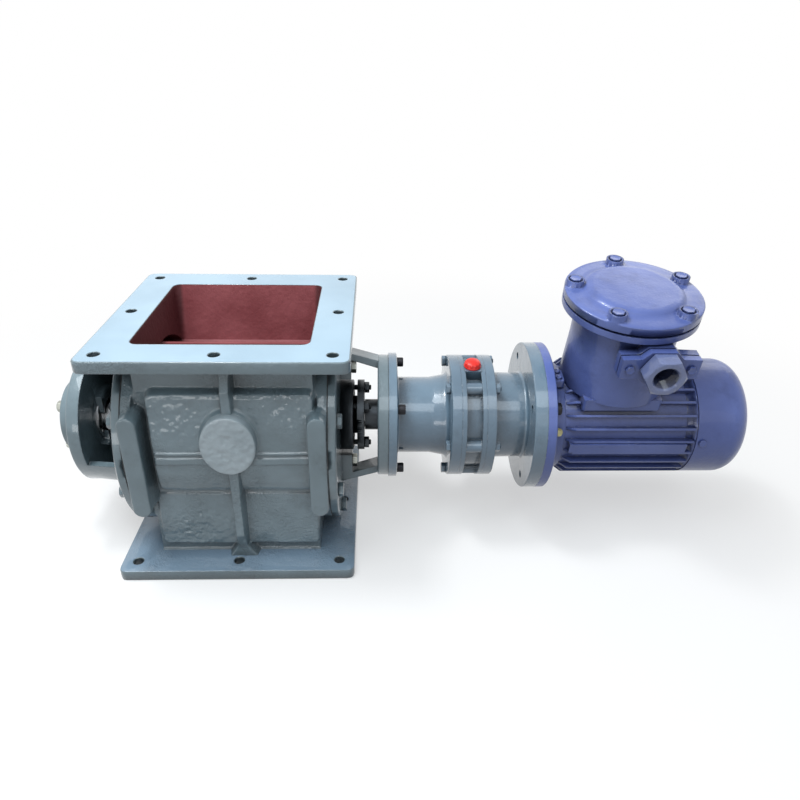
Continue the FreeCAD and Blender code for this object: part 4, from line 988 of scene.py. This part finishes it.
def valve_screws():
    """The screws of covers, bearing cap and bracket."""
    cover = Piece()
    for k in range(8):
        for sign, away in ENDS:
            spot = on_circle(COVER_SEAT * sign, COVER_CIRCLE, 26 + 45 * k)
            hex_screw(cover, spot, away, COVER_SCREW, 26, 11 * k)
    cover.finish("cover_screws", "enamel_grey", ["cover_bolts"])

    cap = Piece()
    for k in range(4):
        spot = on_circle(-CAP_SEAT, CAP_CIRCLE, 45 + 90 * k)
        hex_screw(cap, spot, X_DOWN, CAP_SCREW, 38, 17 * k)
    cap.finish("cap_screws", "zinc_steel", ["cap_bolts"])

    arms = Piece()
    for angle in (97, -83):
        spot = on_circle(BRACKET_SEAT, BRACKET_CIRCLE, angle)
        hex_screw(arms, spot, X_UP, COVER_SCREW, 21, angle)
    arms.finish("bracket_screws", "zinc_steel", ["bracket_bolts"])


def gland_screws():
    """Studs and nuts of the two glands."""
    studs = Piece()
    nuts = Piece()
    for sign, away in ENDS:
        for k in range(4):
            angle = 45 + 90 * k
            start = on_circle(STUD_START * sign, GLAND_CIRCLE, angle)
            threaded(studs, start, away, THREAD_RADIUS, 35.0)
            spot = on_circle(NUT_SEAT * sign, GLAND_CIRCLE, angle)
            hex_head(nuts, spot, away, *GLAND_NUT, 23 * k)
    studs.finish("gland_stud_threads", "dark_steel", ["gland_studs"])
    nuts.finish("gland_nut_set", "dark_steel", ["gland_nuts"])


def reducer_screws():
    """The socket screws of reducer and motor flange, and the hexagon screws round the pin ring."""
    reducer = Piece()
    motor = Piece()
    for angle in (45, 135, 225, 315):
        spot = on_circle(REDUCER_SEAT, REDUCER_CIRCLE, angle)
        socket_screw(reducer, spot, REDUCER_SCREW, 23)
        socket_screw(motor, on_circle(MOTOR_SEAT, MOTOR_CIRCLE, angle), MOTOR_SCREW, 22)
    reducer.finish("reducer_screws", "black_steel", ["reducer_bolts"], rolled=True)
    motor.finish("motor_screws", "black_steel", ["adapter_bolts"], rolled=True)

    ties = Piece()
    for k in range(6):
        angle = 6.5 + 60 * k
        head_end = on_circle(TIE_HEAD, TIE_CIRCLE, angle)
        nut_end = on_circle(TIE_NUT, TIE_CIRCLE, angle)
        hex_screw(ties, head_end, X_DOWN, TIE_SCREW, 58, 13 * k)
        hex_head(ties, nut_end, X_UP, *END_NUT, 19 * k)
        threaded(ties, nut_end, X_UP, THREAD_RADIUS, 8.0)
    ties.finish("tie_screws", "enamel_reducer", ["tie_bolts"], rolled=True)


def motor_screws():
    """The screws of lid, earth terminal and cable entry."""
    lid = Piece()
    for angle in (22, 94, 166, 238, 310):
        a = math.radians(angle)
        spot = (LID_X + LID_CIRCLE * math.cos(a), LID_CIRCLE * math.sin(a), LID_SEAT)
        hex_screw(lid, spot, Z_UP, LID_SCREW, 29, angle)
    lid.finish("lid_screws", "enamel_violet", ["lid_bolts"], rolled=True)

    earth = Piece()
    angle = 22
    away = on_circle(0.0, 1.0, angle)
    hex_screw(earth, on_circle(EARTH_X, EARTH_RADIUS, angle), away, EARTH_SCREW, 6, 12, 5.5)
    earth.finish("earth_screw_head", "zinc_steel", ["earth_screw"], rolled=True, look=brass)

    entry = Piece()
    for side in (-1, 1):
        spot = (ENTRY_X + side * 36, ENTRY_FACE, 148)
        hex_screw(entry, spot, FRONT, ENTRY_SCREW, 18, 20)
    entry.finish("entry_plate_screws", "enamel_violet", ["entry_screws"], rolled=True)


valve_screws()
reducer_screws()
gland_screws()
motor_screws()


# small parts that stand out


def oil_cap():
    """The red filler cap: a lathe line whose grip has flutes r (1 - 0.035 (1 + cos 12 a))."""
    line = soft_line([
        (70.5, 0.01), (70.5, 7), (83, 7), (83, 11.2, 0.8), (84.8, 11.4, 0.8), (85.3, 10.8, 0.4),
        (86.0, 10.8), (89.4, 10.5, 3.2), (91.7, 4.5, 3.0), (91.9, 0.01),
    ], 7)
    a = turns(120)
    points = carried(line, (OIL_CAP_X, 0, 0), Z_UP, a)
    grip = blend_up(line[:, 0] - 86.0, 1.0) * blend_up(89.6 - line[:, 0], 2.0)
    share = 1.0 - 0.035 * grip[:, None] * (1.0 + np.cos(12 * a))[None]
    points[..., 0] = OIL_CAP_X + (points[..., 0] - OIL_CAP_X) * share
    points[..., 1] = points[..., 1] * share
    piece = Piece()
    piece.grid(points)
    piece.finish("oil_cap", "red_plastic", ["oil_plug"], rolled=True, sharp=40.0)


def entry_nut():
    """The entry's hexagon nut, one closed section: shank, chamfered hexagon and threaded bore."""
    corner, tall, bore, outside, inner_end = 25.0, 21.0, 14.0, 16.0, -13.0
    a = turns(144)
    edge = hexagon_edge(a, corner)
    drop = np.maximum(edge - 0.88 * corner, 0.0) * 0.7
    rows = [
        (inner_end, outside), (0.0, outside), (0.0, 0.9 * edge), (0.3, 0.96 * edge), (1.4, edge),
        (tall - drop - 0.8, edge), (tall - drop - 0.1, edge - 0.35),
        (tall, np.minimum(edge, 0.86 * corner) - 0.4), (tall, bore + 2.6), (tall, bore + 2.0),
        (19.6, bore + 0.6),
    ]
    for k in range(11):
        rows += [(19.0 - 1.5 * k, bore + 0.02), (18.25 - 1.5 * k, bore + 0.7)]
    rows += [(inner_end, bore), (inner_end, outside)]
    piece = Piece()
    piece.grid(carried(rows, (ENTRY_X, ENTRY_FACE, 149.0), FRONT, a))
    piece.finish(
        "entry_nut", "enamel_violet", ["gland_nut"], rolled=True, sharp=28.0, look=nut_enamel
    )


def rounded_pad(angle, half_a, half_b, power):
    """A rectangle with round corners by angle: r = (|cos / a|^p + |sin / b|^p)^(-1/p)."""
    c, s = np.cos(angle), np.sin(angle)
    r = (np.abs(c / half_a) ** power + np.abs(s / half_b) ** power) ** (-1.0 / power)
    return r * c, r * s


def lifting_pad():
    """A small cast pad with two bosses on the motor's drive end, left of the terminal box."""
    piece = Piece()
    section = (
        (0.5, 70.0), (0.2, 76.5), (0.0, 78.6), (-0.4, 79.6), (-1.4, 80.0), (-6.0, 80.0),
        (-7.9, 80.0),
    )
    rows = []
    for grow, level in section:
        x, y = rounded_pad(turns(64), 8.0 + grow, 13.0 + grow, 7.0)
        rows.append(np.stack([PAD_X + x, -15.0 + y, np.full(64, level)], axis=-1))
    piece.grid(np.array(rows))
    boss = soft_line([(78, 4.6), (83.0, 4.3, 0.8), (83.2, 1.8, 0.3), (81.8, 0.01)], 5)
    for y in (-21.5, -9.0):
        piece.grid(carried(boss, (PAD_X, y, 0), Z_UP, turns(36)))
    piece.finish("lifting_pad", "enamel_violet", [], rolled=True, sharp=40.0, closed=False)


oil_cap()
entry_nut()
lifting_pad()


# floor, light and camera

FLOOR_HALF = 12.0
OBJECT_X = 0.2
UNDER_FLANGE = (0.152, 0.146)
FLOOR_PALE, FLOOR_DARK = (0.94, 0.94, 0.94, 1.0), (0.16, 0.16, 0.17, 1.0)
SKY_COLOUR, SKY_STRENGTH = (0.93, 0.97, 1.0, 1.0), 0.24
LAMP_AIM = (OBJECT_X, 0.0, 0.15)
LAMPS = (
    # name, place, aim, size, power, colour
    ("top_lamp", (-0.55, -0.3, 2.0), LAMP_AIM, (1.5, 1.0), 30.0, (0.9, 0.96, 1.0)),
    ("sky_lamp", (0.5, -1.5, 2.0), LAMP_AIM, (1.4, 1.0), 14.0, (0.86, 0.94, 1.0)),
    ("small_lamp", (-0.35, 0.0, 1.7), LAMP_AIM, (0.3, 0.22), 8.0, (1, 1, 1)),
    ("front_lamp", (1.2, -1.9, 1.0), LAMP_AIM, (1.0, 0.8), 1.5, (1, 1, 1)),
    ("key_lamp", (-0.7, -1.9, 0.32), (0.0, 0.0, 0.2), (1.3, 0.4), 6.0, (1, 1, 1)),
    ("back_lamp", (1.5, 1.5, 1.3), LAMP_AIM, (1.2, 0.8), 4.0, (1, 1, 1)),
)
SENSOR_WIDTH = 36.0
PHOTO_WIDTH, FOCAL_LENGTH = 800.0, 673.84  # in the photograph's pixels
CAMERA_PLACE = (0.1776, -0.8078, 0.6242)
CAMERA_RIGHT = (0.999355, -0.0311427, 0.0178800)
CAMERA_UP = (-0.000743, 0.479862, 0.877344)
CAMERA_BACK = (-0.0359028, -0.876791, 0.479529)


def floor():
    """A pale floor that glows toward white away from the object and stays dark beneath it."""
    mesh = bpy.data.meshes.new("floor")
    h = FLOOR_HALF
    mesh.from_pydata([(-h, -h, 0), (h, -h, 0), (h, h, 0), (-h, h, 0)], [], [(0, 1, 2, 3)])
    f = Finish("floor_white")
    seen = f.seen_rays()
    x, y, _ = f.place()
    far = ((x - OBJECT_X) * (x - OBJECT_X) + y * y) ** 0.5
    under = abs(x).step(*UNDER_FLANGE) * abs(y).step(*UNDER_FLANGE)
    glow = (0.5 + far.step(0.3, 1.2) * 0.5) * (1.0 - under) * seen
    colour = f.blend(seen, FLOOR_DARK, FLOOR_PALE)
    f.set(Base_Color=colour, Roughness=0.9, Specular_IOR_Level=0.05)
    white = f.add("ShaderNodeEmission", {}, {"Color": WHITE, "Strength": 1.0})
    mixed = f.add(
        "ShaderNodeMixShader", {}, {0: glow, 1: f.shader.outputs[0], 2: white.outputs[0]}
    )
    f.feed(f.surface.inputs["Surface"], mixed.outputs[0])
    mesh.materials.append(f.material)
    put("floor", mesh)


def sky():
    """An even soft sky that is white to the camera, in reflections and through glass."""
    world = bpy.data.worlds.new("studio")
    bpy.context.scene.world = world
    world.use_nodes = True
    net = Net(world.node_tree)
    soft = net.add("ShaderNodeBackground", {}, {"Color": SKY_COLOUR, "Strength": SKY_STRENGTH})
    white = net.add("ShaderNodeBackground", {}, {"Color": WHITE, "Strength": 1.0})
    mix = net.add(
        "ShaderNodeMixShader",
        {},
        {0: net.seen_rays(), 1: soft.outputs[0], 2: white.outputs[0]},
    )
    net.add("ShaderNodeOutputWorld", {}, {"Surface": mix.outputs[0]})


def lamp(name, spot, aim, size, power, colour):
    """A soft rectangular lamp turned toward its aim."""
    data = bpy.data.lights.new(name, "AREA")
    data.shape = "RECTANGLE"
    data.size, data.size_y = size
    data.energy = power
    data.color = colour
    thing = put(name, data)
    thing.location = spot
    way = Vector(aim) - Vector(spot)
    thing.rotation_euler = way.to_track_quat("-Z", "Y").to_euler()


def camera():
    """The photograph's camera, from its place and its right, up and back directions."""
    data = bpy.data.cameras.new("camera")
    data.sensor_width = SENSOR_WIDTH
    data.lens = FOCAL_LENGTH / PHOTO_WIDTH * SENSOR_WIDTH
    data.clip_start = 0.05
    data.clip_end = 60.0
    thing = put("camera", data)
    axes = Matrix((CAMERA_RIGHT, CAMERA_UP, CAMERA_BACK))
    thing.matrix_world = Matrix.Translation(CAMERA_PLACE) @ axes.transposed().to_4x4()
    bpy.context.scene.camera = thing


floor()
sky()
for row in LAMPS:
    lamp(*row)
camera()
bpy.context.scene.view_settings.view_transform = "Standard"

bpy.context.view_layer.update()
